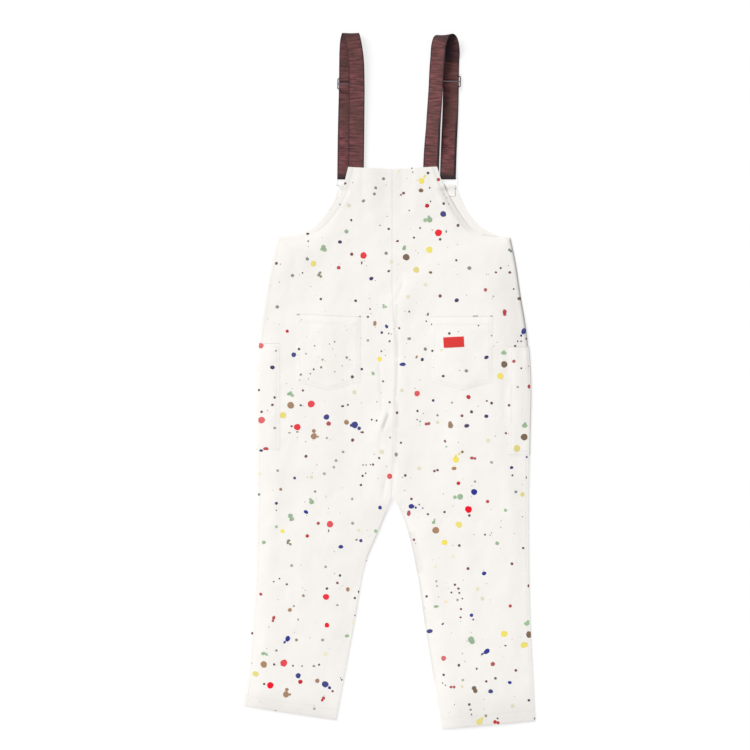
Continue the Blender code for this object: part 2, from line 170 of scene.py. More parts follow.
# Broad folds of the seat, the bib and the legs: from x, y to x, y, height, half width
FOLDS = (
    (12, 190, 26, 20, 0.9, 24),
    (26, 20, 20, -120, 1.2, 26),
    (-4, -70, -26, -132, 1.3, 20),
    (28, -150, 26, -245, 1.2, 22),
    (-16, -165, -24, -235, 0.9, 22),
    (50, 232, 28, 150, 1.0, 22),
    (-84, 452, -130, 362, 0.6, 13),
    (-130, 362, -192, 300, 0.6, 18),
    (-192, 300, -216, 170, 0.5, 20),
    (110, 470, 150, 372, 0.5, 14),
)

# Sharper creases: from x, y to x, y, height (below 0 is a valley), half width
CREASES = (
    (32, 230, 9, 176, -0.6, 4.5),
    (9, 176, 13, 145, -0.6, 4),
    (13, 145, 20, 75, -0.55, 4),
    (20, 75, 18, 13, -0.6, 4),
    (18, 13, 15, -33, -0.55, 4),
    (15, -33, 18, -80, -0.5, 4),
    (18, -80, 12, -180, -0.4, 4.5),
    (12, -180, 9, -250, -0.5, 4),
    (-26, 44, -20, -64, -0.2, 5),
    (-1, -68, -18, -114, -1.3, 4.5),
    (-10, -78, -27, -122, 0.6, 6),
    (-22, -140, -21, -172, -0.8, 4),
    (-7, -219, -15, -262, -0.8, 4),
    (-60, 488, -63, 425, -0.35, 6),
    (-80, 486, -84, 440, -0.3, 6),
    (26, 480, 30, 450, -0.3, 6),
    (54, 482, 50, 445, -0.35, 6),
    (78, 482, 92, 430, 0.35, 7),
    (262, 0, 264, -96, -0.4, 4.5),
    (274, -4, 276, -96, 0.3, 5),
    (-268, 250, -292, 60, -0.5, 9),
    (286, 250, 308, 40, -0.6, 10),
    (-250, -190, -282, -420, 0.6, 16),
    (268, -190, 292, -430, 0.7, 18),
    (-190, -230, -205, -560, 0.6, 20),
    (170, -260, 186, -600, 0.6, 20),
    (-60, -420, -96, -520, -0.5, 8),
    (60, -430, 84, -520, -0.5, 8),
    (-316, -566, -110, -590, -0.35, 4.5),
    (150, -603, 320, -610, -0.3, 5),
    (-120, -20, -60, -90, 0.5, 14),
    (90, -50, 40, -110, 0.5, 14),
    (-170, 300, -60, 250, 0.5, 16),
    (180, 300, 60, 240, 0.5, 16),
)

# Pockets on the seat: left and right edge, their tops' y, the sides' lowest y, the point's x, y
BACK_POCKETS = {
    "left": (-214, -66, 156, 149, -2, -140, -22),
    "right": (95, 237, 150, 150, -2, 165, -22),
}

# The label on the right pocket: x, y, width, height, turn in degrees
LABEL = (147, 90, 47, 24, 2.8)
LABEL_CLOTH = 0.7
LABEL_GAP = 0.15
LABEL_BOW = 0.35

# Bar tacks at the pockets' mouths: x, y, width
TACKS = ((-210, 153, 7), (-68, 149, 4), (197, 149.5, 12), (234, 149.5, 5))
TACK_HEIGHT = 1.3
TACK_PITCH = 0.55
TACK_SHADE = 0.6
TACK_STITCH = (2.0, 0.6)

# How dark the painted shade at the pockets' mouths is, and how far down that reaches
MOUTH_SHADE = 0.4
MOUTH_DEPTH = 1.7

# Pockets round the side seams: top y, bottom y, inner edge on the back, inner edge on the front
SIDE_POCKETS = {"left": (88, -158, -251, -195), "right": (80, -170, 271, 213)}
SIDE_POCKET_LIFT = 1.7

# How far they raise the cloth beside them, and where that fades away
LIFT_INWARD = 45
LIFT_BEYOND = 35
LIFT_FADE = 60

# How far in from the side seam they fold, how far the fold bulges, and an x well past the seam
FLANK_INSET = 1.5
FLANK_BULGE = 3.9
PAST_EDGE = 400.0

# The straps' webbing and metal
WEBBING = 1.4
STRAP_WIDTH = 36.5
WIRE = 2.0
RING_Y = (450.0, 466.6)
SLIDER_Y = {"left": 683.0, "right": 689.0}
SLIDER_REACH = 24.0
WEAVE_RISE = 6.1
PLY_PITCH = 1.75
TAIL = 46.0
TAB_X = {"left": -101.0, "right": 136.5}
TAB_WIDTH = 29.0
TAB_CLOTH = 1.0

# A tab's way: the y of its points under the ring, its run down to its seat as y, z, and the seat's y
TAB_UNDER = (445.5, 448.0)
TAB_RUN = ((447.6, 4.15), (445.5, 3.65), (443.0, 2.8), (440.5, 2.25))
TAB_SEAT = (438.0, 434.0, 430.0, 426.0)

# Upper run, from the end sewn under the back: x, y, z, roll in degrees
UPPER_RUN = {
    "left": (
        (-77.5, 452, 7.05, 0), (-77.2, 494, 7.1, 0), (-76.3, 560, 8.9, 0), (-75.8, 620, 10.8, 0),
        (-75.5, 683, 12.8, 0), (-78, 745, 16.4, 0),
    ),
    "right": (
        (95, 452, 7.05, 0), (95.5, 494, 7.1, 0), (99.8, 580, 12.5, 25), (105.5, 670, 16.0, 27),
        (109.5, 737, 20.0, 25),
    ),
}
# The turn at the shoulder: middle x, y, z, radius, the roll of its axis, the shift along its axis
SHOULDER = {
    "left": (-90, 788.6, 9.9, 9.2, 0, -8),
    "right": (127.5, 780.5, 16.9, 12.0, 24, 16),
}
# Lower run, from below the shoulder to the ring: x, y, z, roll in degrees
LOWER_RUN = {
    "left": (
        (-97, 760, 0.7, 0), (-97.5, 735, 0.7, 0), (-98, 683, 0.7, 0), (-99.5, 624, 0.7, 0),
        (-101, 555, 0.7, 0), (-102, 466.6, 0.7, 0),
    ),
    "right": (
        (143.2, 759, 6.0, 13), (142.2, 737, 0.7, 0), (141.5, 716, 0.7, 0), (141, 681, 0.7, 0),
        (140.2, 631, 0.7, 0), (136.6, 543, 0.7, 0), (134, 466.6, 0.7, 0),
    ),
}

# Painted shade: lines of it along creases, seams and edges, then broad areas of it: from x, y to x, y,
# strength, half width
SHADE_LINES = (
    (-4, -76, -17, -110, 0.5, 3),
    (30, 226, 14, 182, 0.12, 3.5),
    (14, 178, 15, 122, 0.24, 3.5),
    (15, 118, 17, 52, 0.2, 3.5),
    (17, 48, 15, -38, 0.2, 3.5),
    (15, -42, 17, -108, 0.17, 5),
    (17, -112, 12, -190, 0.13, 6),
    (-26, 40, -20, -70, 0.12, 3),
    (6, 487, 6, 200, 0.16, 1.4),
    (9, 150, 13, 20, 0.08, 1.4),
    (13, -10, 6, -250, 0.08, 1.4),
    (-7, -298, -54, -408, 0.35, 2),
    (-54, -413, -78, -530, 0.15, 2),
    (23, -292, 43, -342, 0.25, 3),
    (44, -346, 66, -445, 0.3, 3),
    (67, -449, 83, -560, 0.3, 3),
    (84, -564, 103, -687, 0.2, 3),
    (50, -346, 72, -440, 0.14, 9),
    (212, 337, 250, 332, 0.3, 2),
)
SHADE_AREAS = (
    (268, 250, 290, -20, 0.12, 42),
    (280, -40, 292, -160, 0.08, 40),
    (-286, 300, -300, 120, 0.12, 40),
    (-335, -745, -125, -782, 0.19, 32),
    (140, -790, 345, -768, 0.2, 55),
    (-60, 455, 90, 455, 0.08, 60),
    (-215, 290, -190, 230, 0.05, 60),
)

# How dark the painted shade is inside each strap's loop, on its rolled edge near the ring, at its turn and
# round its ring end
STRAP_LOOP_SHADE = {"left": 0.2, "right": 1.0}
STRAP_ROLLED_SHADE = {"left": 0.0, "right": 1.0}
LOOP_SHADE = 0.62
RING_SHADE = 0.92

# Where the painted shade on a rolled edge has faded out on its way up, and over what distance
ROLLED_TOP = 640
ROLLED_FADE = 70

# Fineness of the straps: points round the shoulder's turn, through a slider and round a ring, the
# corners of a band's section, and the steps between two points of the upper and the lower run
SHOULDER_POINTS = 25
SLIDER_POINTS = 33
RING_POINTS = 13
BAND_CORNERS = 24
UPPER_STEPS = 10
LOWER_STEPS = 12

# ---------------------------------------------------------------- finishes and stage

# The heights of the surfaces' fine relief, in metres, and the colours of the painted shade in sunk stitches
# and of the painted shade along creases and edges
WEAVE_HEIGHT = 0.00013
INK_HEIGHT = 0.00011
RIB_HEIGHT = 0.0003
SUNK_DEPTH = 0.00022
SUNK_SHADE_COLOUR = (0.42, 0.40, 0.41)
PAINTED_SHADE_COLOUR = (0.30, 0.29, 0.30)

# How strongly the painted shade in sunk stitches, the painted shade along creases and edges, faded patches
# and the webbing's darker edges show
SUNK_SHADE_SHARE = 0.07
PAINTED_SHADE_SHARE = 0.8
PATCH_SHARE = 0.65
SELVEDGE_SHARE = 0.7

# The stage: the camera's place and sensor, the floor, and where the soft lamp stands
CAMERA_XY = (-0.0335, 0.0145)
SENSOR = 36.0
FLOOR_SIZE = 9000.0
FLOOR_Z = -0.4
FLOOR_GREY = (0.27, 0.27, 0.27)
FLOOR_GLOW = 0.745
WHITE = (1.0, 1.0, 1.0)
KEY_FROM = (-0.62, 0.42, 0.66)
KEY_SPREAD = 35

# ---------------------------------------------------------------- the print

# Splashes charted by colour: x, y, radius, how far stretched, and which way in degrees
SPLASHES = {
    "red": (
        (-60, 289, 7.5), (112, 341, 8), (63, -28, 6.5), (-296, 82, 6.5), (-180, -52, 8), (-294, -89, 7.8),
        (-212, -105, 7.5), (0, -218, 6.2), (-137, -328, 7.5), (181, -294, 8), (-146, -495, 7),
        (-144, -560, 5.6), (-243, -647, 8), (-274, -698, 7.5), (124, -636, 5.8),
    ),
    "crimson": (
        (-117, 261, 4.3), (112, 463, 4), (86, 403, 4.8), (220, 210, 4), (264, 160, 5, 1.2, 90),
        (264, 154, 4), (181, -36, 5), (320, -12, 4, 1.6, 90), (-140, -97, 5.2), (-284, -155, 5, 1.6, 0),
        (84, -98, 3.6), (90, -97, 3.6), (189, -176, 4, 1.3, 0), (196, -177, 3), (-164, -326, 3.8),
        (-189, -355, 4), (158, -234, 4.4), (44, -303, 5.3, 1.7, 85), (225, -276, 3.8), (-296, -489, 3.6),
        (-266, -543, 4.2, 1.4, 60), (-268, -550, 3), (-205, -690, 5), (-152, -728, 4), (-155, -733, 2.8),
        (277, -516, 3.8), (237, -649, 5), (141, -702, 3.2), (148, -702, 3.2), (242, -782, 4.2),
        (249, -784, 3.6), (-235, 115, 3.8), (285, 46, 3.8),
    ),
    "blue": (
        (123, 384, 6.8), (30, 39, 5.4, 1.7, 3), (308, 115, 6.3, 1.3, 70), (302, 105, 2.6),
        (-7, 126, 4, 1.3, 120), (-220, 61, 5.4), (-145, -82, 6.4, 1.1, 20), (-80, -100, 7.6),
        (-88, -101, 3.4), (-70, -108, 4.2), (50, -287, 6, 1.15, 0), (60, -290, 2.6), (194, -254, 7),
        (217, -441, 4.8, 1.3, 25), (188, -537, 4.1), (92, -574, 5.8, 1.5, 15), (223, -620, 6.4, 1.5, 35),
        (213, -626, 2.8, 1.8, 30), (232, -712, 5.2, 1.2, 0), (276, -692, 4.1, 1.2, 0),
        (-234, -591, 6, 1.2, 70), (-241, -599, 3, 1.5, 50), (-210, -676, 6), (-148, -696, 7.4, 1.15, -20),
        (-138, -704, 3.6), (-192, -300, 4.6, 1.4, -35), (-112, -380, 4.8, 1.3, 10), (-22, -290, 4.4),
        (-66, -366, 3.8),
    ),
    "ink": (
        (-114, 320, 4.2, 1.2, 0), (-42, 236, 4.5, 1.35, 35), (154, 186, 4.8, 1.25, 20), (-18, 112, 3),
        (-269, 32, 4.9, 1.3, 0), (75, 50, 3.8, 1.2, 60), (123, 12, 3.2), (222, 55, 4.6, 1.3, 35),
        (-64, 28, 2.9), (177, -102, 5, 1.3, 15), (222, -80, 4.4, 1.2, 10), (-295, -159, 3.6, 1.5, 0),
        (-218, -222, 3.2), (-260, -280, 3.4), (-51, -413, 3.4), (280, -198, 3.8, 1.2, 10), (315, -174, 2.4),
        (-70, -484, 3.1, 1.2, 120), (100, -44, 3.1), (56, 330, 2.4),
    ),
    "yellow": (
        (73, 460, 6.8), (80, 470, 3.4, 1.5, 60), (91, 302, 7.4), (61, 256, 7), (254, 12, 7.5),
        (-23, 51, 5.2, 1.25, 90), (-245, -78, 7.4), (292, -154, 7.6), (152, -180, 7),
        (152, -172, 3.6, 1.4, 80), (160, -166, 2.6, 1.8, 40), (159, -329, 7.2, 1.1, 0),
        (126, -370, 6.4, 1.1, 0), (305, -260, 5, 1.2, 90), (263, -580, 7.4), (309, -606, 7.4, 1.15, 0),
        (206, -782, 7.2), (212, -774, 3.6), (-246, -344, 4.8), (-308, -672, 6.6, 1.2, -15),
        (-175, 270, 6.4, 1.1, 60),
    ),
    "straw": (
        (-94, 404, 4.4), (82, 222, 4), (42, 194, 4.6), (28, -21, 4), (-81, -25, 4.8), (110, -94, 3.8),
        (226, -136, 4.8), (68, -200, 4.6), (-18, -162, 5.2, 1.3, 80), (-180, -220, 3.8), (-299, -212, 3.4),
        (-72, -342, 3.8), (146, -402, 3.4), (105, -426, 3.2), (202, -477, 4, 1.2, 70), (213, -499, 4.4),
        (129, -506, 3.4), (166, -701, 3.4), (282, -746, 4.4), (-82, -554, 4), (-148, -626, 4.6),
        (4, 274, 4), (119, 72, 3), (211, -629, 2.2, 2.4, 35), (168, -224, 1.8, 2.5, 90), (20, 482, 2.6),
    ),
    "green": (
        (-99, 344, 4.7), (-152, 308, 5.4), (-149, 302, 4.6), (-156, 303, 3.4), (92, 371, 6.2),
        (82, 370, 4.6), (90, 378, 2.8), (34, 308, 4, 1.4, 70), (33, 304, 3.6, 1.5, 0),
        (262, 65, 5.2, 1.6, 0), (262, 68, 3.4), (-14, 175, 2.6), (-9, 171, 2.8), (-14, 170, 2.4),
        (-38, 18, 3.9, 1.3, 110), (-231, -29, 4, 1.3, 0), (-224, -32, 4.2, 1.2, -20), (-227, -26, 3.4),
        (310, -102, 5.4, 1.5, 0), (311, -97, 3.2), (-179, -277, 5.4), (-182, -271, 3), (-228, -309, 5.4),
        (-224, -316, 4.6), (-227, -318, 3.2), (-289, -370, 4.3), (-32, -344, 3.8), (162, -265, 6.6),
        (150, -266, 4.2), (103, -319, 3, 2.2, 80), (101, -324, 3.8), (247, -372, 4.3), (266, -296, 3.8),
        (107, -517, 4.3, 1.9, 5), (187, -593, 7.2), (190, -598, 5.6), (315, -557, 5.2, 1.5, 0),
        (318, -552, 3.4), (168, -686, 3), (-290, -625, 4.4, 1.5, 10), (-283, -627, 3.6, 1.5, -30),
        (-98, -585, 4.2, 1.4, 5), (130, -150, 2.2), (-260, -334, 3.4),
    ),
    "pine": (
        (-14, 465, 3.5), (-32, 444, 3.4), (-35, 430, 3.4), (-60, 414, 3.7, 1.35, 35), (-189, 281, 3.8),
        (-223, 243, 3.8, 1.1, 0), (-258, 171, 4, 1.1, 0), (-8, 294, 3.7), (183, 260, 4.4, 1.1, 0),
        (275, 302, 3.2), (279, 299, 3), (130, 344, 2.5, 1.4, 90), (45, 98, 3.7, 1.6, 10), (82, 74, 3.8),
        (176, 24, 4, 1.1, 0), (15, -168, 4.2, 1.3, 90), (196, -230, 2.4), (290, -254, 3.3), (-300, -260, 3),
        (186, -754, 2.5), (302, 92, 2.4),
    ),
    "sage": (
        (-107, -162, 3), (-123, -182, 3.3), (-128, -197, 3), (-150, -212, 3.4), (-257, -205, 3),
        (-264, -107, 3), (-85, -326, 3.4), (-86, -270, 3), (-225, -423, 3.4), (-147, -426, 3.1),
        (234, -186, 3.4, 1.2, 0), (143, -49, 2.4), (-173, -752, 3), (-120, -514, 2.6, 1.4, 0),
        (-220, -516, 2.5), (-154, -594, 3.3), (-210, -547, 2.2, 1.5, 90), (156, -502, 2.9), (-50, 94, 3),
        (-212, -116, 2.5, 1.8, 0), (-230, -118, 2.4, 1.6, 0), (-144, -130, 2.4), (294, -13, 2.6),
        (234, 105, 2.2), (107, -459, 2.4), (109, -470, 2), (238, 195, 2), (-114, 406, 2.3), (-22, 358, 1.8),
        (1, -129, 2.2), (-262, -757, 2.4, 2, -8),
    ),
    "brown": (
        (-227, -55, 7.8), (-174, -126, 7), (-174, -114, 4.4), (-165, -127, 2.4), (-99, -94, 5.6),
        (139, -97, 5, 1.3, 90), (140, -102, 6), (148, -200, 4.8, 1.4, 0), (106, -342, 7.8),
        (-34, 133, 4.8, 1.5, 80), (-289, -650, 7.5), (-238, -719, 7), (-236, -708, 4.2), (-229, -719, 2.8),
        (-166, -688, 5), (-229, -525, 4.4, 1.1, 10), (-96, -478, 4.6, 1.3, 80), (-250, -248, 3.4),
        (-198, -492, 3.2), (62, 56, 3, 1.7, 60),
    ),
    "cocoa": (
        (38, 285, 7.6), (72, 438, 5, 1.25, 0), (263, 39, 7.4), (309, -128, 7.8), (321, -582, 7.5),
        (194, -705, 5.4), (197, -711, 5), (298, 190, 4.2, 1.2, 0), (94, 250, 3.3, 1.2, 0), (167, -162, 3),
        (160, -377, 3.3),
    ),
    "olive": (
        (-160, 249, 3.4, 1.3, 30), (-163, 244, 3.4), (-158, 241, 3.2), (-232, -366, 3.6, 1.3, 30),
        (-234, -371, 3), (-228, -374, 3), (-214, -594, 3.4), (-260, -618, 2.7), (-174, -654, 2.9, 1.2, 0),
        (221, -768, 3.2), (110, -78, 2.6), (-171, -253, 2.8), (-76, -364, 2.5, 1.3, 30),
    ),
    "maroon": (
        (-87, 292, 3.8), (-64, 272, 2.6, 2, 85), (-260, 271, 3.4, 1.2, 60), (-102, 454, 2.9, 1.2, 30),
        (32, 432, 3.3, 1.2, 20), (26, 428, 2.2), (157, 358, 3.5, 1.2, 60), (18, 322, 2.9, 1.4, 20),
        (255, 260, 2.5), (244, 250, 2.6), (276, 250, 3.2, 1.2, 0), (116, 196, 3.8), (137, 110, 3.1),
        (-140, -343, 2.2, 2.4, 90), (-192, -172, 3.6), (-85, -135, 3.8, 1.2, 60), (-108, -57, 3, 1.4, 10),
        (-96, -54, 2.4), (-269, -54, 3, 1.2, 20), (-294, -70, 3), (-199, -21, 2.7),
        (-225, -103, 2.6, 1.3, 0), (-62, -117, 2.8), (17, -72, 3.1), (166, -79, 3.4), (0, -48, 2.5),
        (223, -45, 2.3), (274, -55, 3), (127, -137, 2.6), (103, -206, 3), (110, -204, 3), (50, -270, 3),
        (56, -364, 2.9, 1.2, 90), (281, -419, 3.4), (180, -430, 3.4), (219, -352, 2.3), (-120, -463, 3),
        (-316, -579, 3), (-131, -712, 2.7), (-288, -695, 2.7), (150, -467, 2.8), (158, -476, 2.8),
        (164, -523, 2.6), (163, -542, 2.4), (319, -470, 2.8, 1.7, 90), (222, -689, 2.9), (290, -664, 3.2),
        (243, -682, 3.1), (200, -660, 2.5), (314, 98, 2.2), (302, 30, 2.2), (22, 122, 2.4), (-45, 166, 2),
        (-50, 148, 2.6), (45, 160, 2.2), (84, 138, 1.9), (96, 131, 1.8), (0, 92, 2.5), (-15, 0, 2.3),
        (-261, 70, 1.8), (-38, -191, 2.6), (-44, -191, 1.6), (-54, -192, 1.6), (-61, -192, 1.6),
    ),
    "dark": (
        (-188, 339, 3.2, 1.5, 0), (-187, 322, 1.9), (-88, 370, 2.7, 1.3, 110), (-2, 350, 2.9),
        (-2, 253, 2.9, 1.3, 40), (-158, 189, 2.9), (-78, 185, 3.2, 1.2, 0), (88, 478, 3.2), (124, 408, 3),
        (116, 326, 3), (70, 352, 2.2), (153, 278, 2.7), (88, 154, 2.6, 1.9, 85), (285, 212, 2),
        (-200, 249, 1.9), (-208, 74, 3), (-300, -20, 2.6), (-264, -37, 2.9), (-204, -55, 2.6),
        (-41, -88, 2.2), (-30, -90, 2.2), (-24, -176, 2.6), (-62, -217, 2.7), (-55, -211, 1.8),
        (-66, -238, 2.8), (188, -70, 3.6), (234, -50, 3.2), (64, -68, 2.7), (63, -88, 1.7), (70, -92, 1.6),
        (26, -141, 2.6), (267, -119, 2.6), (36, -216, 3.1), (282, -216, 2.3), (314, -221, 1.8, 2.4, 80),
        (126, -300, 2.8), (88, -305, 2.6, 1.3, 0), (68, -283, 1.8), (76, -291, 1.8), (183, -308, 3.1),
        (307, -383, 2.7), (288, 81, 2.7), (294, 92, 1.9), (98, 70, 2.7), (204, 128, 1.8), (-19, 69, 2),
        (-2, 110, 1.8), (-253, -453, 1.9), (-266, -460, 1.9), (-236, -466, 2.5), (-114, -446, 2.9),
        (-144, -476, 3), (-80, -498, 2.8), (-79, -538, 2), (-265, -650, 2.8), (-222, -653, 2.2),
        (-201, -654, 1.9), (-162, -651, 2.4), (-110, -686, 2), (85, -494, 2.9), (142, -485, 2.3),
        (160, -486, 2.3), (167, -499, 1.9), (122, -557, 2.6, 1.7, 45), (192, -547, 2.1),
        (266, -607, 2.2, 1.7, 0), (159, -652, 3.3), (124, -674, 2.9), (122, -693, 1.6), (128, -698, 1.5),
        (183, -742, 3.1), (188, -765, 1.8), (320, -733, 3), (334, -775, 2.4), (248, -774, 2.2),
        (94, 413, 1.7), (92, 444, 2), (45, 392, 1.6), (51, 489, 1.6), (53, 480, 1.5), (-260, -296, 1.5),
        (-66, -117, 1.6),
    ),
}

# The inks: red, green and blue, and how common each is among the tiny specks
INKS = {
    "red": (0.8, 0.058, 0.07, 0.02),
    "crimson": (0.5, 0.045, 0.055, 0.02),
    "blue": (0.03, 0.038, 0.235, 0.03),
    "ink": (0.044, 0.036, 0.125, 0.03),
    "yellow": (0.85, 0.735, 0.175, 0.02),
    "straw": (0.86, 0.78, 0.56, 0.08),
    "green": (0.335, 0.5, 0.3, 0.04),
    "pine": (0.235, 0.27, 0.23, 0.08),
    "sage": (0.36, 0.365, 0.32, 0.2),
    "brown": (0.39, 0.225, 0.12, 0.05),
    "cocoa": (0.2, 0.125, 0.07, 0.05),
    "olive": (0.28, 0.25, 0.18, 0.05),
    "maroon": (0.185, 0.068, 0.072, 0.13),
    "dark": (0.085, 0.072, 0.075, 0.2),
}

# Random splashes: seeds, the specks' least and greatest radius, and for the left back pocket and the
# front the least radius, the spread and its power, and how clear of the edges they stay
PRINT_SEED = 41
POCKET_SEED = 8
SPECK_SIZES = (0.5, 1.3)
POCKET_SIZES = (1.6, 2.6, 2)
FRONT_SIZES = (1.4, 4.2, 2.5)
POCKET_CLEAR = 8.0
FRONT_CLEAR = 9.0

# A splash's lobes (order, size), and its corners and rings by kind; how often an edge is halved
LOBES = ((2, 0.05), (3, 0.045), (5, 0.035), (7, 0.03))
SPLASH_MESH = (18, 3)
SPECK_MESH = (7, 1)
FRONT_MESH = (14, 2)
HALVINGS = 10


# ---------------------------------------------------------------- numbers and curves


def ease(value):
    """0 below 0, 1 above 1, and a smooth step between: 3 t squared less 2 t cubed."""
    t = np.clip(value, 0.0, 1.0)
    return t * t * (3.0 - 2.0 * t)


def bell(value, half):
    """1 at 0, falling away on both sides: e to the minus square of the value over the half width."""
    return np.exp(-((value / half) ** 2))


def unit(rows):
    """Each row scaled to length 1."""
    return rows / np.linalg.norm(rows, axis=1, keepdims=True)


def heading(line):
    """The direction that a line runs in at each of its points."""
    return unit(np.gradient(line, axis=0))


def leftward(way):
    """Flat directions turned a quarter to the left: x, y becomes -y, x."""
    return np.column_stack([-way[:, 1], way[:, 0]])


def lengths_along(line):
    """How far along a line each of its points lies: the running sum of its segments."""
    return np.concatenate([[0.0], np.cumsum(np.linalg.norm(np.diff(line, axis=0), axis=1))])


def read_at(places, along, line):
    """The points of a line at some lengths along it."""
    return np.column_stack([np.interp(places, along, column) for column in line.T])


def track(points, sharp=(), steps=2):
    """A cubic through the points, its slope at each the mean of the chords' directions.

    A row that sharp names keeps a corner. Each span is cut into the given number of steps.
    """
    p = np.array(points, float)
    chord = np.diff(p, axis=0)
    length = np.linalg.norm(chord, axis=1, keepdims=True)
    way = chord / length
    joined = unit(way[:-1] * length[1:] + way[1:] * length[:-1])
    leave = np.vstack([way[:1], joined])
    arrive = np.vstack([joined, way[-1:]])
    for row in sharp:
        leave[row] = way[row]
        arrive[row - 1] = way[row - 1]
    t = (np.arange(steps) / steps)[None, :, None]
    start, end = p[:-1, None], p[1:, None]
    out, into = (leave * length)[:, None], (arrive * length)[:, None]
    curve = (
        (2 * t**3 - 3 * t**2 + 1) * start
        + (t**3 - 2 * t**2 + t) * out
        + (3 * t**2 - 2 * t**3) * end
        + (t**3 - t**2) * into
    )
    return np.vstack([curve.reshape(-1, p.shape[1]), p[-1:]])


def distance_to(x, y, line):
    """The shortest distance from each point to a line of points, segment by segment."""
    best = np.full(np.shape(x), np.inf)
    for (sx, sy), (wx, wy) in zip(line[:-1], np.diff(line, axis=0)):
        t = np.clip(((x - sx) * wx + (y - sy) * wy) / (wx * wx + wy * wy), 0.0, 1.0)
        best = np.minimum(best, np.hypot(x - sx - t * wx, y - sy - t * wy))
    return best


def nearest(x, y, lines):
    """The shortest distance from each point to any of several lines."""
    return np.minimum.reduce([distance_to(x, y, line) for line in lines])


def inside(x, y, loop):
    """True where a point lies in a closed loop: a ray to the right crosses it an odd number of times."""
    odd = np.zeros(np.shape(x), bool)
    for (ax, ay), (bx, by) in zip(loop, np.roll(loop, -1, axis=0)):
        if ay != by:
            crosses = (ay > y) != (by > y)
            odd ^= crosses & (x < ax + (y - ay) * (bx - ax) / (by - ay))
    return odd


def unrest(x, y, pitch, seed):
    """Smooth random waves from -1 to 1: random values at lattice corners, eased between them."""
    lattice = np.random.default_rng(seed).uniform(-1.0, 1.0, (LATTICE, LATTICE))
    u, v = x / pitch + LATTICE_SHIFT, y / pitch + LATTICE_SHIFT
    column, row = np.floor(u).astype(int), np.floor(v).astype(int)
    s, t = ease(u - column), ease(v - row)

    def between(up):
        near, far = (lattice[(row + up) % LATTICE, (column + step) % LATTICE] for step in (0, 1))
        return near * (1 - s) + far * s

    return between(0) * (1 - t) + between(1) * t


def inset(line, distance):
    """The line moved sideways by a distance, to the left of the way it runs."""
    return line + distance * leftward(heading(line))


def cut_line(line, start, end):
    """The part of a line between two lengths along it; a length below 0 counts from its far end."""
    along = lengths_along(line)
    start = start + along[-1] if start < 0 else start
    end = end + along[-1] if end <= 0 else end
    places = np.linspace(start, end, max(2, int((end - start) / CUT_STEP)))
    return read_at(places, along, line)


# ---------------------------------------------------------------- outlines


EDGES = {
    "back": BACK_EDGE,
    "front": {side: FRONT_EDGE[side] + BACK_EDGE[side][UNDERARM:] for side in SIDES},
}
MIDDLES = {
    "back": MIDDLE_SEAM,
    "front": (
        *((x, y) for (x, _), y in zip(MIDDLE_SEAM, FRONT_MIDDLE_Y)), *MIDDLE_SEAM[UNDERARM:],
    ),
}
UNDERARM_ROW, FORK_ROW = UNDERARM * STEPS, FORK * STEPS


def panel_outline(layer, side, steps=STEPS):
    """The outer and the inner edge of a panel, row by row, from its top to its hem."""
    return (
        track(EDGES[layer][side], sharp=(UNDERARM,), steps=steps),
        track([*MIDDLES[layer], *INSEAM[side]], sharp=(FORK,), steps=steps),
    )


def whole_loop(layer):
    """The outline of both panels together, without the middle seam."""
    (left_outer, left_inner), (right_outer, right_inner) = (OUTLINES[layer][side] for side in SIDES)
    return np.vstack([
        left_outer, left_inner[FORK_ROW:][::-1], right_inner[FORK_ROW:], right_outer[::-1],
    ])


OUTLINES = {layer: {side: panel_outline(layer, side) for side in SIDES} for layer in EDGES}
LOOPS = {layer: whole_loop(layer) for layer in EDGES}
HEM_LINES = {side: np.array([BACK_EDGE[side][-1], INSEAM[side][-1]], float) for side in SIDES}


def pocket_loop(side, grow=0.0):
    """The five corners of a back pocket, each moved out from its middle by grow."""
    left, right, top_left, top_right, low, point_x, point_y = BACK_POCKETS[side]
    corners = np.array([
        (left, top_left), (right, top_right), (right, low), (point_x, point_y), (left, low),
    ], float)
    middle = np.array([(left + right) / 2, (top_left + low) / 2])
    return corners + np.sign(corners - middle) * grow


def pocket_line(side):
    """A back pocket's sides and point: its outline without its mouth."""
    return np.roll(pocket_loop(side), -1, axis=0)


def side_pocket_loop(side):
    """The outline of a side pocket's upper ply, which runs on past the side seam."""
    top, bottom, inner, _ = SIDE_POCKETS[side]
    outer = math.copysign(PAST_EDGE, inner)
    return np.array([(inner, top), (outer, top), (outer, bottom), (inner, bottom)], float)


# ---------------------------------------------------------------- heights


def rim(distance, reach):
    """0 at a seam, rounding up along a parabola to 1 at a reach from it."""
    inward = np.clip(distance / reach, 0.0, 1.0)
    return 1.0 - (1.0 - inward) ** 2


def pocket_lift(x, y):
    """How far a side pocket's lower ply raises what lies on it, fading away round it."""
    lift = np.zeros(np.shape(x))
    for top, bottom, _, inner in SIDE_POCKETS.values():
        inward = (inner - x) * math.copysign(1.0, inner)
        beyond = np.maximum(y - top, bottom - y)
        near = 1 - ease((inward - LIFT_INWARD) / LIFT_FADE)
        lift += near * (1 - ease((beyond - LIFT_BEYOND) / LIFT_FADE))
    return SIDE_POCKET_LIFT * lift


def ridges(x, y, table, fade):
    """The sum of the folds in a table: each a bell across its line, eased away at both ends."""
    height = np.zeros(np.shape(x))
    for x0, y0, x1, y1, rise, half in table:
        length = math.hypot(x1 - x0, y1 - y0)
        along = ((x - x0) * (x1 - x0) + (y - y0) * (y1 - y0)) / length
        aside = ((x - x0) * (y1 - y0) - (y - y0) * (x1 - x0)) / length
        ends = ease((along + fade) / (2 * fade)) * ease((length + fade - along) / (2 * fade))
        height += rise * ends * bell(aside, half)
    return height


def bib(y):
    """0 in the body and 1 at the top of the bib, where the straps lift it."""
    return ease((y - BIB_FOOT) / BIB_RISE)


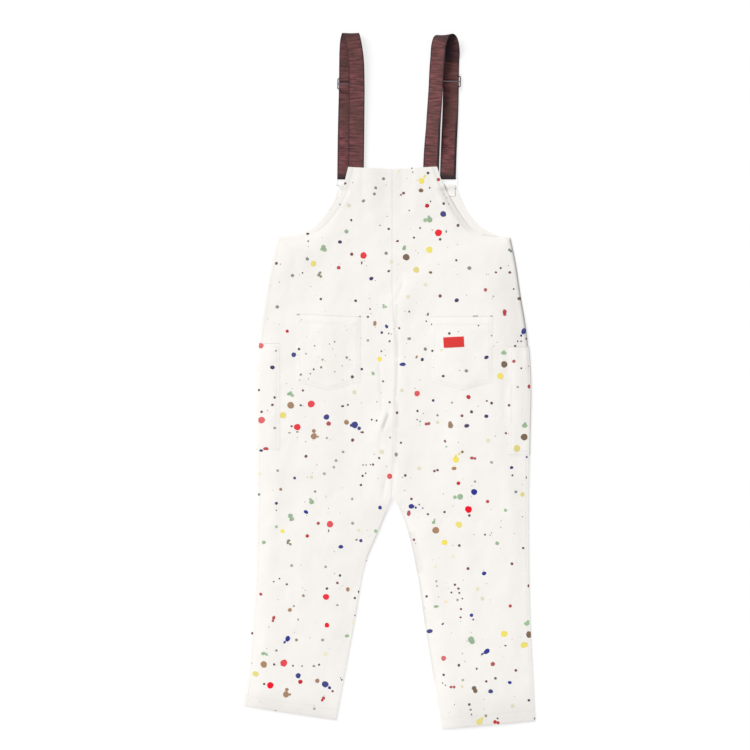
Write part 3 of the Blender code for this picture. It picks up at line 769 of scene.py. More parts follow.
def seam_gaps(x, y):
    """Distances from the back's outer edges, the inner leg edges, the middle seam and the hems."""
    outers, inners = zip(*OUTLINES["back"].values())
    middle = (inners[0] + inners[1])[: FORK_ROW + 1] / 2
    legs = [line[FORK_ROW:] for line in inners]
    hem = nearest(x, y, HEM_LINES.values())
    return nearest(x, y, outers), nearest(x, y, legs), distance_to(x, y, middle), hem


def front_gaps(x, y):
    """Distances from the front panels' outer edges, their inner edges and the hems."""
    return [nearest(x, y, lines) for lines in (*zip(*OUTLINES["front"].values()), HEM_LINES.values())]


def right_side(x):
    """0 in the middle and 1 towards the right side, where the cloth lies flatter."""
    return ease((x - 40) / 120)


def crown_of(x, y, outer, inner, leg):
    """How full a panel is: it rises from its seams, over a longer way where the legs lie flat."""
    outer_reach = RIM + FLAT_RIM * right_side(x) * ease((-60 - y) / 120)
    inner_reach = RIM + FLAT_RIM * ease((20 - x) / 40)
    return CROWN * rim(outer, outer_reach) * (1 - leg * (1 - rim(inner, inner_reach)))


def strap_lift(x, y, outer):
    """How far the straps lift the bib: most under each strap, least where its edges droop."""
    near_strap = ease((-x - 5) / 40) + ease((x - 25) / 40)
    droop = (0.25 + 0.55 * ease(x / 60)) * (1 - ease(outer / 22)) * ease((448 - y) / 12)
    return STRAP_LIFT * bib(y) * (0.7 + 0.3 * near_strap) * (1 - droop)


def leg_hem(x, y, hem):
    """What a leg's turned hem adds: a second ply that ripples between its stitches."""
    return (0.13 + 0.06 * np.sin((x + 0.8 * y) / 5.5)) * ease((HEM - hem) / 8)


def armhole_hem(x, y, outer):
    """What the armhole's turned hem adds: a second ply that ripples between its stitches."""
    return (0.12 + 0.04 * np.sin((y + x) / 5)) * ease((12 - outer) / 5) * ease((y - UNDERARM_Y) / 8)


def outseam(x, y, outer):
    """How high the panel steps up from its outer seam: most by the right side of the seat."""
    return (0.35 + 0.95 * right_side(x) * ease((y + 60) / 120)) * ease(outer / 7)


def back_top(x, y, gaps=None):
    """Upper face of the back: crowned between its seams, raised at the bib, folded and creased.

    Waves are added where it is free of its seams, and a fine groove runs along the middle seam.
    """
    outer, inner, middle, hem = gaps or seam_gaps(x, y)
    leg = ease((FORK_Y - y) / 60)
    body = 1 - bib(y)
    free = ease(outer / 30) * (1 - leg * (1 - ease(inner / 30))) * ease(hem / 20)
    z = CLOTH + GAP + CLOTH + pocket_lift(x, y)
    z = z + crown_of(x, y, outer, inner, leg) * body + strap_lift(x, y, outer)
    z += ridges(x, y, FOLDS, FOLD_FADE) + ridges(x, y, CREASES, CREASE_FADE) * (0.35 + 0.65 * free)
    z += free * sum(size * unrest(x, y, pitch, seed) for size, pitch, seed in BACK_WAVES)
    z -= GROOVE_DEPTH * bell(middle, GROOVE_HALF) * (1 - leg)
    z += leg_hem(x, y, hem)
    z += armhole_hem(x, y, outer)
    return z + outseam(x, y, outer) * body


def front_under(x, y, gaps):
    """Lower face of the front, which lies on the floor but for its ripples and the side pockets."""
    outer, inner, _ = gaps
    free = ease(outer / 40) * ease(inner / 40)
    waves = sum(size * (0.5 + 0.5 * unrest(x, y, pitch, seed)) for size, pitch, seed in FRONT_WAVES)
    return pocket_lift(x, y) + free * waves


def back_pocket_top(x, y):
    """Upper face of a back pocket: sewn down close at its edge and a little full inside it."""
    z = back_top(x, y) + SEWN_GAP
    size, pitch, seed = POCKET_WAVE
    full = POCKET_FULL + size * unrest(x, y, pitch, seed)
    for side in SIDES:
        left, right, top_left, top_right, _, _, _ = BACK_POCKETS[side]
        share = np.clip((x - left) / (right - left), 0, 1)
        below = top_left + (top_right - top_left) * share - y
        near = inside(x, y, pocket_loop(side, 3.0))
        edge = distance_to(x, y, pocket_loop(side)[[*range(5), 0]])
        z += near * (POCKET_CLOTH * ease(edge / 13) + full * ease(edge / 40))
        z += near * 0.1 * ease((POCKET_HEM + 1 - below) / 5)
    return z


def side_pocket_top(x, y):
    """Upper face of a side pocket where it lies on the back, sewn down close at its edges."""
    z = back_top(x, y) + SEWN_GAP
    for top, bottom, inner, _ in SIDE_POCKETS.values():
        outward = (x - inner) * math.copysign(1.0, inner)
        edge = np.minimum(np.minimum(top - y, y - bottom), outward)
        fits = np.sign(x) == np.sign(inner)
        z += fits * (POCKET_CLOTH * ease(edge / 18) + 0.2 * ease(edge / 30))
    return z


def painted_shade(x, y, outer):
    """Painted shade on the cloth: by the right side's edge, along the armholes, and along lines and over
    areas.
    """
    edge = ease((5.5 - outer) / 3.5) * (x > 0) * ease((UNDERARM_Y - y) / 6) * ease((y + 40) / 190)
    turned = 0.2 * bell(outer - 10.5, 2.2) + 0.12 * bell(outer, 9)
    marks = ridges(x, y, SHADE_LINES, SHADE_LINE_FADE) + ridges(x, y, SHADE_AREAS, SHADE_AREA_FADE)
    return np.clip(0.85 * edge + (marks + turned * ease((y - 336) / 16)), 0.0, 1.0)


def mouth_shade(below):
    """Painted shade on a pocket at a distance below its mouth, written as a length for sheet_mesh."""
    return MOUTH_SHADE * bell(below, MOUTH_DEPTH) / MM


# ---------------------------------------------------------------- meshes


def put(name, points, faces, smooth=True):
    """A mesh object at the origin from points in millimetres, shown in the scene."""
    mesh = bpy.data.meshes.new(name)
    mesh.from_pydata((np.asarray(points) * MM).tolist(), [], faces)
    mesh.update()
    if smooth:
        mesh.polygons.foreach_set("use_smooth", np.ones(len(mesh.polygons), bool))
    obj = bpy.data.objects.new(name, mesh)
    bpy.context.scene.collection.objects.link(obj)
    return obj


def mark(obj, name, values):
    """Keeps a value at each vertex as a named attribute."""
    layer = obj.data.attributes.new(name, "FLOAT", "POINT")
    layer.data.foreach_set("value", np.asarray(values, float).ravel())


def sheet_mesh(name, points, uv=None, gaps=None, wrap=False, up=None):
    """A grid of points as quads. A wrapped grid joins its last column to its first and is capped.

    uv is given in millimetres at each point; gaps are named values kept at each vertex in metres.
    up turns the faces so that they point up (True) or down (False).
    """
    rows, columns = points.shape[:2]
    index = np.arange(rows * columns).reshape(rows, columns)
    if wrap:
        index = np.hstack([index, index[:, :1]])

    def corners(grid):
        return np.stack([grid[:-1, :-1], grid[:-1, 1:], grid[1:, 1:], grid[1:, :-1]], axis=2)

    quads = corners(index).reshape(-1, 4)
    a, b, c, d = (points.reshape(-1, 3)[quads[:, at]] for at in range(4))
    turn = up is not None and (np.cross(c - a, d - b)[:, 2].sum() > 0) != up
    faces = (quads[:, ::-1] if turn else quads).tolist()
    if wrap:
        ring = list(range(columns))
        faces += [ring, [(rows - 1) * columns + at for at in reversed(ring)]]
    obj = put(name, points.reshape(-1, 3), faces)
    if uv is not None:
        uv = np.concatenate([uv, uv[:, :1]], axis=1) if wrap else uv
        flat = corners(uv).reshape(-1, 4, 2)
        flat = flat[:, ::-1] if turn else flat
        every = np.zeros((len(obj.data.loops), 2))
        every[: flat.shape[0] * 4] = flat.reshape(-1, 2) * MM
        obj.data.uv_layers.new(name="cloth").data.foreach_set("uv", every.ravel())
    for key, values in (gaps or {}).items():
        mark(obj, key, np.asarray(values) * MM)
    return obj


def thicken(obj, thickness, bevel):
    """Gives an open surface its thickness on the inner side and rounds its cut edges."""
    wall = obj.modifiers.new("thickness", "SOLIDIFY")
    wall.thickness = thickness * MM
    wall.offset = -1.0
    wall.use_rim = True
    edge = obj.modifiers.new("edge", "BEVEL")
    edge.width = bevel * MM
    edge.segments = 2
    edge.limit_method = "ANGLE"
    edge.angle_limit = math.radians(50)


def surface_area(points):
    """The area of a grid of points in square metres: half the cross product of each cell's diagonals."""
    first = points[1:, 1:] - points[:-1, :-1]
    second = points[1:, :-1] - points[:-1, 1:]
    return float(np.linalg.norm(np.cross(first, second), axis=2).sum() / 2) * MM * MM


def trim(obj, material):
    """Gives a piece its material and the body that it rides."""
    obj.data.materials.append(material)
    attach(obj, "root")


def soft_piece(
    solid, points, material, name=None, wall=None, slot="cotton", held="laid", rests_on=None,
    cut=None, **mesh,
):
    """A piece of cloth or webbing that stands for a solid, with its finish and its thickness.

    Its flat size, its extent seen from above unless the size it was cut to is given, is worked out but not
    used.
    """
    obj = sheet_mesh(name or f"cloth_{solid}", points, **mesh)
    trim(obj, material)
    if wall:
        thicken(obj, *wall)
    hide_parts(solid)
    if cut is None:
        cut = tuple(np.ptp(points.reshape(-1, 3), axis=0)[:2] * MM)
    return obj


# ---------------------------------------------------------------- shader nodes


def fill(tree, made, inputs):
    """Links or sets each of a node's inputs by name or number; a colour gets its alpha."""
    for key, value in inputs.items():
        socket = made.inputs[key]
        if isinstance(value, bpy.types.NodeSocket):
            tree.links.new(value, socket)
        elif socket.type == "RGBA":
            socket.default_value = (*value[:3], 1.0)
        else:
            socket.default_value = value


def node(tree, kind, inputs=None, **settings):
    """Adds a shader node, sets its properties, and fills its inputs."""
    made = tree.nodes.new(kind)
    for key, value in settings.items():
        setattr(made, key, value)
    fill(tree, made, inputs or {})
    return made


def maths(tree, operation, *values, clamp=False):
    """A Math node's output for the values or sockets given."""
    return node(
        tree, "ShaderNodeMath", dict(enumerate(values)), operation=operation, use_clamp=clamp
    ).outputs[0]


def times(tree, first, second):
    """Two values multiplied."""
    return maths(tree, "MULTIPLY", first, second)


def noise(tree, where, scale, detail, roughness):
    """A noise texture's value at a place."""
    return node(tree, "ShaderNodeTexNoise", {
        "Vector": where, "Scale": scale, "Detail": detail, "Roughness": roughness,
    }).outputs["Fac"]


def stretched(tree, where, scale):
    """A place scaled along each axis."""
    return node(tree, "ShaderNodeMapping", {"Vector": where, "Scale": scale}).outputs["Vector"]


def remap(tree, value, old=(0.0, 1.0), new=(0.0, 1.0)):
    """A value moved from an old range to a new one, and held inside it."""
    return node(tree, "ShaderNodeMapRange", {
        "Value": value, "From Min": old[0], "From Max": old[1], "To Min": new[0], "To Max": new[1],
    }).outputs["Result"]


def vertex_value(tree, name):
    """A named value kept at each vertex."""
    return node(tree, "ShaderNodeAttribute", attribute_name=name).outputs["Fac"]


def place(tree, name, inputs):
    """The outputs of a node group put in a material with its own values."""
    return node(tree, "ShaderNodeGroup", inputs, node_tree=bpy.data.node_groups[name]).outputs


def colour_mix(tree, factor, first, second):
    """A colour between two, by a factor."""
    return node(tree, "ShaderNodeMix", {0: factor, 6: first, 7: second}, data_type="RGBA").outputs[2]


def seen(tree):
    """1 for rays from the eye, a mirror or glass, and 0 for those that carry light."""
    rays = node(tree, "ShaderNodeLightPath").outputs
    direct = maths(tree, "MAXIMUM", rays["Is Camera Ray"], rays["Is Glossy Ray"])
    return maths(tree, "MAXIMUM", direct, rays["Is Transmission Ray"])


def group(name, inputs, outputs):
    """A new shader node group: returns its tree, its inputs' sockets and its output node."""
    tree = bpy.data.node_groups.new(name, "ShaderNodeTree")
    for title, kind, default in inputs:
        socket = tree.interface.new_socket(title, in_out="INPUT", socket_type=f"NodeSocket{kind}")
        if default is not None:
            socket.default_value = default
    for title in outputs:
        tree.interface.new_socket(title, in_out="OUTPUT", socket_type="NodeSocketFloat")
    return tree, node(tree, "NodeGroupInput").outputs, node(tree, "NodeGroupOutput")


def weave_group():
    """Plain weave: threads that rise and fall over each other, with slubs and a soft tone."""
    tree, given, made = group(
        "Plain weave",
        [("Vector", "Vector", None), ("Pitch", "Float", 0.0011), ("Slub", "Float", 0.3)],
        ["Height", "Tone"],
    )
    axes = node(tree, "ShaderNodeSeparateXYZ", {0: given["Vector"]}).outputs
    rate = maths(tree, "DIVIDE", TURN, given["Pitch"])
    across, along = (maths(tree, "SINE", times(tree, axes[axis], rate)) for axis in (0, 1))
    slub = noise(tree, given["Vector"], scale=420.0, detail=2.0, roughness=0.6)
    cloud = noise(tree, given["Vector"], scale=26.0, detail=3.0, roughness=0.55)
    threads = times(tree, times(tree, across, along), 0.5)
    fill(tree, made, {
        "Height": maths(tree, "ADD", threads, times(tree, slub, given["Slub"])),
        "Tone": maths(tree, "ADD", times(tree, cloud, 0.7), times(tree, slub, 0.3)),
    })


def sewn_line_group():
    """How close a point is to a line of stitches that runs at a set distance from an edge."""
    tree, given, made = group(
        "Sewn line",
        [("Gap", "Float", 0.0), ("At", "Float", 0.008), ("Width", "Float", 0.0012)],
        ["Line"],
    )
    off = maths(tree, "ABSOLUTE", maths(tree, "SUBTRACT", given["Gap"], given["At"]))
    line = maths(tree, "SUBTRACT", 1.0, maths(tree, "DIVIDE", off, given["Width"]), clamp=True)
    slope = maths(tree, "SUBTRACT", 3.0, times(tree, line, 2.0))
    fill(tree, made, {"Line": times(tree, line, times(tree, line, slope))})


def ribbed_group():
    """Webbing: ribs along it, weft streaks across it, faded patches and a darker band along both edges.

    A streak is noise stretched across the band, and a patch is noise wider than the band.
    """
    tree, given, made = group(
        "Ribbed webbing",
        [("UV", "Vector", None), ("Rib", "Float", 0.0024), ("Weft", "Float", 0.0016),
         ("Half", "Float", STRAP_WIDTH * MM / 2)],
        ["Height", "Tone", "Patch", "Selvedge"],
    )
    axes = node(tree, "ShaderNodeSeparateXYZ", {0: given["UV"]}).outputs
    across, along = (
        times(tree, axes[axis], maths(tree, "DIVIDE", TURN, given[pitch]))
        for axis, pitch in ((0, "Rib"), (1, "Weft"))
    )
    lean = times(tree, maths(tree, "SINE", across), 1.2)
    rib = maths(tree, "ABSOLUTE", maths(tree, "SINE", times(tree, across, 0.5)))
    weft = maths(tree, "SINE", maths(tree, "ADD", along, lean))
    share = maths(tree, "DIVIDE", maths(tree, "ABSOLUTE", axes[0]), given["Half"])
    values = {
        "Height": maths(tree, "ADD", times(tree, rib, 0.7), times(tree, weft, 0.3)),
        "Selvedge": remap(tree, share, (0.78, 0.92)),
    }
    for title, scale, detail in (("Tone", (34.0, 220.0, 1.0), 5.0), ("Patch", (16.0, 11.0, 1.0), 1.0)):
        cloud = noise(tree, stretched(tree, given["UV"], scale), 1.0, detail, roughness=0.6)
        values[title] = remap(tree, cloud, (0.37, 0.63))
    fill(tree, made, values)


# ---------------------------------------------------------------- finishes


def blank(name, inputs):
    """A new material with a Principled shader and plain values: material, tree and shader."""
    material = bpy.data.materials.new(name)
    material.use_nodes = True
    tree = material.node_tree
    shader = tree.nodes["Principled BSDF"]
    fill(tree, shader, inputs)
    return material, tree, shader


def surface(tree, shader, colour, height, strength=0.8, distance=1.0):
    """Gives a shader its colour, and a bump from a height in metres."""
    raised = node(tree, "ShaderNodeBump", {
        "Strength": strength, "Distance": distance, "Height": height,
    })
    fill(tree, shader, {"Base Color": colour, "Normal": raised.outputs["Normal"]})


def woven(tree):
    """The weave's height and tone where a piece lies."""
    where = node(tree, "ShaderNodeTexCoord").outputs["Object"]
    weave = place(tree, "Plain weave", {"Vector": where})
    return weave["Height"], weave["Tone"]


def cotton(name, colour, shade, lines=(), bump=1.0):
    """Off-white canvas: woven bump, a cloudy tone, lines of stitches sunk along its edges with painted
    shade in them, and painted shade kept at each vertex.
    """
    material, tree, shader = blank(name, {
        "Roughness": 0.92, "Sheen Weight": 0.12, "Sheen Roughness": 0.5, "Specular IOR Level": 0.25,
    })
    height, tone = woven(tree)
    tint = colour_mix(tree, tone, shade, colour)
    height = times(tree, height, WEAVE_HEIGHT * bump)
    sunk = 0.0
    for attribute, at, width in lines:
        line = place(tree, "Sewn line", {
            "Gap": vertex_value(tree, attribute), "At": at * MM, "Width": width * MM,
        })
        sunk = maths(tree, "MAXIMUM", sunk, line["Line"])
    # Painted shade in the sunk lines of stitches, with the groove's bump
    if lines:
        tint = colour_mix(tree, times(tree, sunk, SUNK_SHADE_SHARE), tint, SUNK_SHADE_COLOUR)
        height = maths(tree, "SUBTRACT", height, times(tree, sunk, SUNK_DEPTH))
    # Painted shade kept at each vertex: along creases, seams, edges and pockets' mouths
    tint = colour_mix(tree, times(tree, vertex_value(tree, "painted_shade"), PAINTED_SHADE_SHARE), tint, PAINTED_SHADE_COLOUR)
    surface(tree, shader, tint, height)
    return material


def webbing_finish(name, colour, light, faded, dark):
    """Brown webbing: streaks of paler weft, faded patches, darker edges, and painted shade in its folds."""
    material, tree, shader = blank(name, {
        "Roughness": 0.8, "Sheen Weight": 0.04, "Specular IOR Level": 0.3,
    })
    where = node(tree, "ShaderNodeUVMap", uv_map="cloth").outputs["UV"]
    ribs = place(tree, "Ribbed webbing", {"UV": where})
    tint = colour_mix(tree, ribs["Tone"], colour, light)
    tint = colour_mix(tree, times(tree, ribs["Patch"], PATCH_SHARE), tint, faded)
    # The darker band along both edges, and the painted shade kept at each vertex, whichever is darker
    selvedge = times(tree, ribs["Selvedge"], SELVEDGE_SHARE)
    edge = maths(tree, "MAXIMUM", vertex_value(tree, "painted_strap_shade"), selvedge)
    tint = colour_mix(tree, edge, tint, dark)
    surface(tree, shader, tint, times(tree, ribs["Height"], RIB_HEIGHT), strength=1.0)
    return material


def ink_finish(name, colour):
    """Printed paint: the cloth's weave under a matt colour, purer where a splash has more paint."""
    material, tree, shader = blank(name, {"Roughness": 0.78, "Specular IOR Level": 0.3})
    height, tone = woven(tree)
    pale = tuple(0.9 * part + 0.07 for part in colour)
    load = vertex_value(tree, "load")
    varied = node(tree, "ShaderNodeHueSaturation", {
        "Color": colour_mix(tree, times(tree, tone, 0.4), colour, pale),
        "Saturation": maths(tree, "MULTIPLY_ADD", load, 0.26, 0.86),
        "Value": maths(tree, "MULTIPLY_ADD", load, 0.22, 0.90),
    })
    surface(tree, shader, varied.outputs["Color"], times(tree, height, INK_HEIGHT))
    return material


def metal_finish(name, colour, roughness):
    """Nickel plate with fine scratches and a dull patina."""
    material, tree, shader = blank(name, {"Metallic": 1.0})
    where = node(tree, "ShaderNodeTexCoord").outputs["Object"]
    along = stretched(tree, where, (60.0, 900.0, 300.0))
    scratch = noise(tree, along, scale=2.0, detail=4.0, roughness=0.7)
    fill(tree, shader, {"Roughness": remap(tree, scratch, new=(roughness * 0.7, roughness * 1.6))})
    tint = colour_mix(tree, scratch, colour, tuple(part * 0.72 for part in colour))
    surface(tree, shader, tint, scratch, strength=0.25, distance=0.0002)
    return material


def finish_of(name, make, *values, **named):
    """The material of that name, made the first time it is asked for."""
    return bpy.data.materials.get(name) or make(name, *values, **named)


def cloth_of(settings, name, lines=()):
    """A cotton material in the scene's cloth colours, with sunk lines of stitches."""
    return finish_of(name, cotton, settings.cloth_colour, settings.cloth_shade, lines)


# ---------------------------------------------------------------- straps


def lower_x(side, y):
    """The x of the lower run's middle at each y."""
    run = np.array(LOWER_RUN[side])[::-1]
    return np.interp(y, run[:, 1], run[:, 0])


def shoulder(side):
    """The turn at the shoulder: a half circle about an axis that rolls, drifting along it."""
    x, y, z, radius, roll, shift = SHOULDER[side]
    angle = math.radians(roll)
    axis = np.array([math.cos(angle), 0.0, math.sin(angle)])
    out = np.array([-math.sin(angle), 0.0, math.cos(angle)])
    turn = np.linspace(0, math.pi, SHOULDER_POINTS)[:, None]
    around = radius * (np.cos(turn) * out + np.sin(turn) * np.array([0.0, 1.0, 0.0]))
    return np.array([x, y, z]) + around + axis * shift * (turn / math.pi - 0.5)


def band_frame(route, roll, lean):
    """The direction across a band and the one out of its face, at each point of its route."""
    ahead = heading(route)
    axis = np.column_stack([np.cos(roll), -lean * np.cos(roll), np.sin(roll)])
    across = unit(axis - (axis * ahead).sum(axis=1, keepdims=True) * ahead)
    return across, np.cross(across, ahead)


def weave_climb(y):
    """How far the webbing climbs over the slider's outer bars, at a distance from its middle."""
    near = np.abs(y) < SLIDER_REACH
    return np.where(near, WEAVE_RISE * np.sin(math.pi * y / SLIDER_REACH) ** 2, 0.0)


def first_ply(side, turn):
    """From the end of the turn to the ring, climbing through the slider."""
    rows = np.array([[*turn[-1], SHOULDER[side][4]], *LOWER_RUN[side]])
    line = track([turn[-2], *rows[:, :3]], steps=LOWER_STEPS)[LOWER_STEPS:]
    slider = SLIDER_Y[side]
    near = slider + np.linspace(SLIDER_REACH, -SLIDER_REACH, SLIDER_POINTS)
    apart = np.abs(line[:, 1] - slider) > SLIDER_REACH + 2
    y = np.sort(np.concatenate([line[apart, 1], near]))[::-1]
    line, rows = line[::-1], rows[::-1]
    x = np.interp(y, line[:, 1], line[:, 0])
    z = np.interp(y, line[:, 1], line[:, 2]) + weave_climb(y - slider)
    roll = np.interp(y, rows[:, 1], rows[:, 3])
    return np.column_stack([x, y, z])[1:], roll[1:]


def strap_route(side):
    """The webbing's middle line, roll, lean and painted shade, from the end under the back to the tail.

    Painted shade is given for the outer and the inner face of the loop at the shoulder: it gathers
    where the outer face turns over, on the inner face of the lower run, and round the ring.
    """
    rows = np.array(UPPER_RUN[side])
    turn = shoulder(side)
    upper = track([*rows[:, :3], *turn[:2]], steps=UPPER_STEPS)[: -UPPER_STEPS - 1]
    roll = SHOULDER[side][4]
    upper_roll = np.interp(
        np.arange(len(upper)) / UPPER_STEPS, np.arange(len(rows) + 1), [*rows[:, 3], roll]
    )
    ply, ply_roll = first_ply(side, turn)
    bend = np.linspace(-math.pi / 2, -3 * math.pi / 2, RING_POINTS)[1:-1]
    radius = WIRE / 2 + GAP + WEBBING / 2
    ring_turn = np.column_stack([
        np.full(len(bend), ply[-1, 0]),
        RING_Y[1] + radius * np.cos(bend),
        WEBBING / 2 + radius * (1 + np.sin(bend)),
    ])
    slider = SLIDER_Y[side]
    above_ring = ply[:, 1] - RING_Y[1]
    tilt = float(lower_x(side, slider + 25) - lower_x(side, slider - 25)) / 50
    lean = tilt * ease(above_ring / 60)
    up = -band_frame(ply, np.radians(ply_roll), lean)[1]
    apart = PLY_PITCH + (2 * radius - PLY_PITCH) * (1 - ease(above_ring / 34))
    folded = ply[:, 1] < slider + TAIL
    tail = (ply + up * apart[:, None])[folded][::-1]
    route = np.vstack([upper, turn, ply, ring_turn, tail])

    def whole(over_upper, over_turn, over_ply, over_ring, over_tail):
        """A value for each point of the route; the tail takes its own from the ply under it."""
        parts = ((over_upper, upper), (over_turn, turn), (over_ply, ply), (over_ring, bend))
        spread = [np.broadcast_to(value, len(part)) for value, part in parts]
        return np.concatenate([*spread, over_tail[folded][::-1]])

    # Painted shade inside the loop, round the ring, over the turn and on the upper run before it
    loop = STRAP_LOOP_SHADE[side] * ease((ply[:, 1] - slider - 6) / 60)
    ring = RING_SHADE * ease((9 - above_ring) / 4)
    angle = np.linspace(0, 180, len(turn))
    over = LOOP_SHADE * (ease(0.44 + angle / 59) * (1 - ease((angle - 50) / 90)))
    before = LOOP_SHADE * ease((upper[:, 1] - turn[0, 1] + 7) / 16)
    dark = (
        whole(before, over, ring, RING_SHADE, ring),
        whole(0.0, loop[0], np.maximum(loop, ring), RING_SHADE, ring),
    )
    rolls = np.radians(whole(upper_roll, roll, ply_roll, 0.0, ply_roll))
    return route, rolls, whole(0.0, 0.0, lean, 0.0, lean), dark


def band_points(route, across, out, width, thickness):
    """A flat closed band: a long rounded section carried along a route, with its uv."""
    turn = np.linspace(0, TURN, BAND_CORNERS, endpoint=False)
    wide = np.sign(np.cos(turn)) * np.abs(np.cos(turn)) ** 0.35 * width / 2
    tall = np.sign(np.sin(turn)) * np.abs(np.sin(turn)) ** 0.45 * thickness / 2
    points = (
        route[:, None] + across[:, None] * wide[None, :, None] + out[:, None] * tall[None, :, None]
    )
    along = lengths_along(route)
    return points, np.dstack(np.broadcast_arrays(wide[None, :], along[:, None])), along[-1]


# ---------------------------------------------------------------- stitching and print


def stitch_rows(name, paths, height, pitch, length, thread):
    """Rows of stitches: each a small rounded dash of thread lying on the cloth along its path."""
    starts, ends = [], []
    for path in paths:
        along = lengths_along(path)
        count = max(2, int(along[-1] / pitch))
        places = (np.arange(count) + 0.5) * along[-1] / count
        starts.append(read_at(places - 0.5, along, path))
        ends.append(read_at(places + 0.5, along, path))
    start, end = np.vstack(starts), np.vstack(ends)
    middle, way = (start + end) / 2, unit(end - start)
    side = leftward(way)
    station = np.repeat([-0.5, -0.3, 0.3, 0.5], 3) * length
    wide = np.tile([-1.0, 0.0, 1.0], 4) * np.repeat([0.3, 1.0, 1.0, 0.3], 3) * thread / 2
    tall = np.tile([-0.3, 1.0, -0.3], 4) * np.repeat([0.1, 1.0, 1.0, 0.1], 3) * thread * 0.6
    flat = middle[:, None] + way[:, None] * station[None, :, None] + side[:, None] * wide[None, :, None]
    z = height(flat[..., 0], flat[..., 1]) + tall[None, :]
    quads = [
        [3 * at + a, 3 * at + b, 3 * at + 3 + b, 3 * at + 3 + a]
        for at in range(3) for a, b in ((1, 0), (2, 1), (0, 2))
    ]
    first = np.arange(len(middle))[:, None, None] * 12
    faces = (first + np.array(quads)[None]).reshape(-1, 4).tolist()
    faces += (first + np.array([[0, 1, 2], [11, 10, 9]])[None]).reshape(-1, 3).tolist()
    return put(name, np.dstack([flat, z]).reshape(-1, 3), faces)


# What the print lies on, lowest first: the height of each surface and the outlines of its pieces
SURFACES = (
    (back_top, [LOOPS["back"]]),
    (back_pocket_top, [pocket_loop(side) for side in SIDES]),
    (side_pocket_top, [side_pocket_loop(side) for side in SIDES]),
)


def on_surfaces(x, y):
    """For each surface, True where a point lies in one of its pieces."""
    return [np.logical_or.reduce([inside(x, y, loop) for loop in loops]) for _, loops in SURFACES]


def owner_of(x, y):
    """The number of the surface that lies uppermost at each point, or 0 for the back."""
    owner = np.zeros(np.shape(x), int)
    for code, within in enumerate(on_surfaces(x, y)):
        owner[within] = code
    return owner


def on_owner(x, y, owner):
    """True where a point is within the back and on the surface that its splash belongs to."""
    within = on_surfaces(x, y)
    return within[0] & np.choose(owner, within)


def top_of(x, y, owner):
    """The height of whichever surface owns each point."""
    z = np.zeros(np.shape(x))
    for code, (height, _) in enumerate(SURFACES):
        mine = owner == code
        z[mine] = height(x[mine], y[mine])
    return z


def splash_outlines(rows, rng, corners):
    """Splashes' middles and outlines: each radius swells and shrinks in shallow random lobes."""
    table = np.array([(*row, 1.0, 0.0)[:5] for row in rows], float)
    x, y, radius, stretch, angle = table.T
    turn = np.linspace(0, TURN, corners, endpoint=False)
    lobes = np.ones((len(table), corners))
    for order, size in LOBES:
        phase = rng.uniform(0, TURN, (len(table), 1))
        amount = rng.uniform(0.3, 1.0, (len(table), 1)) * size
        lobes += amount * np.cos(order * turn[None] + phase)
    reach = radius[:, None] * lobes
    along = reach * np.cos(turn)[None] * np.sqrt(stretch)[:, None]
    aside = reach * np.sin(turn)[None] / np.sqrt(stretch)[:, None]
    lean = np.radians(angle)[:, None]
    dx = along * np.cos(lean) - aside * np.sin(lean)
    dy = along * np.sin(lean) + aside * np.cos(lean)
    return x, y, dx, dy


def kept_on_piece(x, y, dx, dy):
    """Each outline drawn in towards its middle where it would leave the piece that it lies on.

    The share that stays is found by halving: the largest at which the point is still on its piece.
    """
    owner = owner_of(x, y)
    wide_owner = np.broadcast_to(owner[:, None], dx.shape)

    def fits(share):
        return on_owner(x[:, None] + dx * share, y[:, None] + dy * share, wide_owner)

    good, bad = np.zeros_like(dx), np.ones_like(dx)
    whole = fits(1.0)
    for _ in range(HALVINGS):
        half = (good + bad) / 2
        good_here = fits(half)
        good, bad = np.where(good_here, half, good), np.where(good_here, bad, half)
    share = np.where(whole, 1.0, good)
    return dx * share, dy * share, owner


def fan_points(x, y, dx, dy, rings):
    """The points of each flat fan: its middle, then rings of its outline at growing size."""
    corners = dx.shape[1]
    scale = np.concatenate([[0.0], np.repeat((np.arange(rings) + 1) / rings, corners)])
    spread = np.concatenate([[0], np.tile(np.arange(corners), rings)])
    return x[:, None] + dx[:, spread] * scale[None], y[:, None] + dy[:, spread] * scale[None]


def splash_faces(count, corners, rings):
    """The faces of each fan: triangles round the middle, then rings of quads."""
    at = np.arange(corners)
    after = (at + 1) % corners
    first = (np.arange(count) * (1 + corners * rings))[:, None, None]
    inner = np.column_stack([np.zeros(corners, int), 1 + at, 1 + after])
    faces = (first + inner[None]).reshape(-1, 3).tolist()
    for ring in range(1, rings):
        low, high = 1 + (ring - 1) * corners, 1 + ring * corners
        quad = np.column_stack([low + at, high + at, high + after, low + after])
        faces += (first + quad[None]).reshape(-1, 4).tolist()
    return faces


def random_places(rng, loop, count, spare, fits=None):
    """Random places in a loop: spare times the count are drawn in its box, and those that miss go."""
    places = rng.uniform(loop.min(axis=0), loop.max(axis=0), (count * spare, 2))
    good = inside(*places.T, loop)
    if fits:
        good &= fits(*places.T)
    return places[good][:count]


def by_ink(places, sizes, kinds):
    """The x, y and radius of random splashes, sorted by the number of their ink."""
    rows = np.column_stack([places, sizes])
    return {name: rows[kinds == number] for number, name in enumerate(INKS)}


def random_sizes(rng, count, least, spread, power):
    """Radii that are mostly small: the least, plus the spread times a random number to a power."""
    return least + spread * rng.uniform(0, 1, count) ** power


# ---------------------------------------------------------------- settings


def colour_setting(name, description, default):
    """A colour that a user can change: red, green and blue from 0 to 1."""
    return bpy.props.FloatVectorProperty(
        name=name, description=description, subtype="COLOR", default=default, min=0, max=1)


def length_setting(name, description, default):
    """A length that a user can change, in metres."""
    return bpy.props.FloatProperty(
        name=name, description=description, default=default, unit="LENGTH")


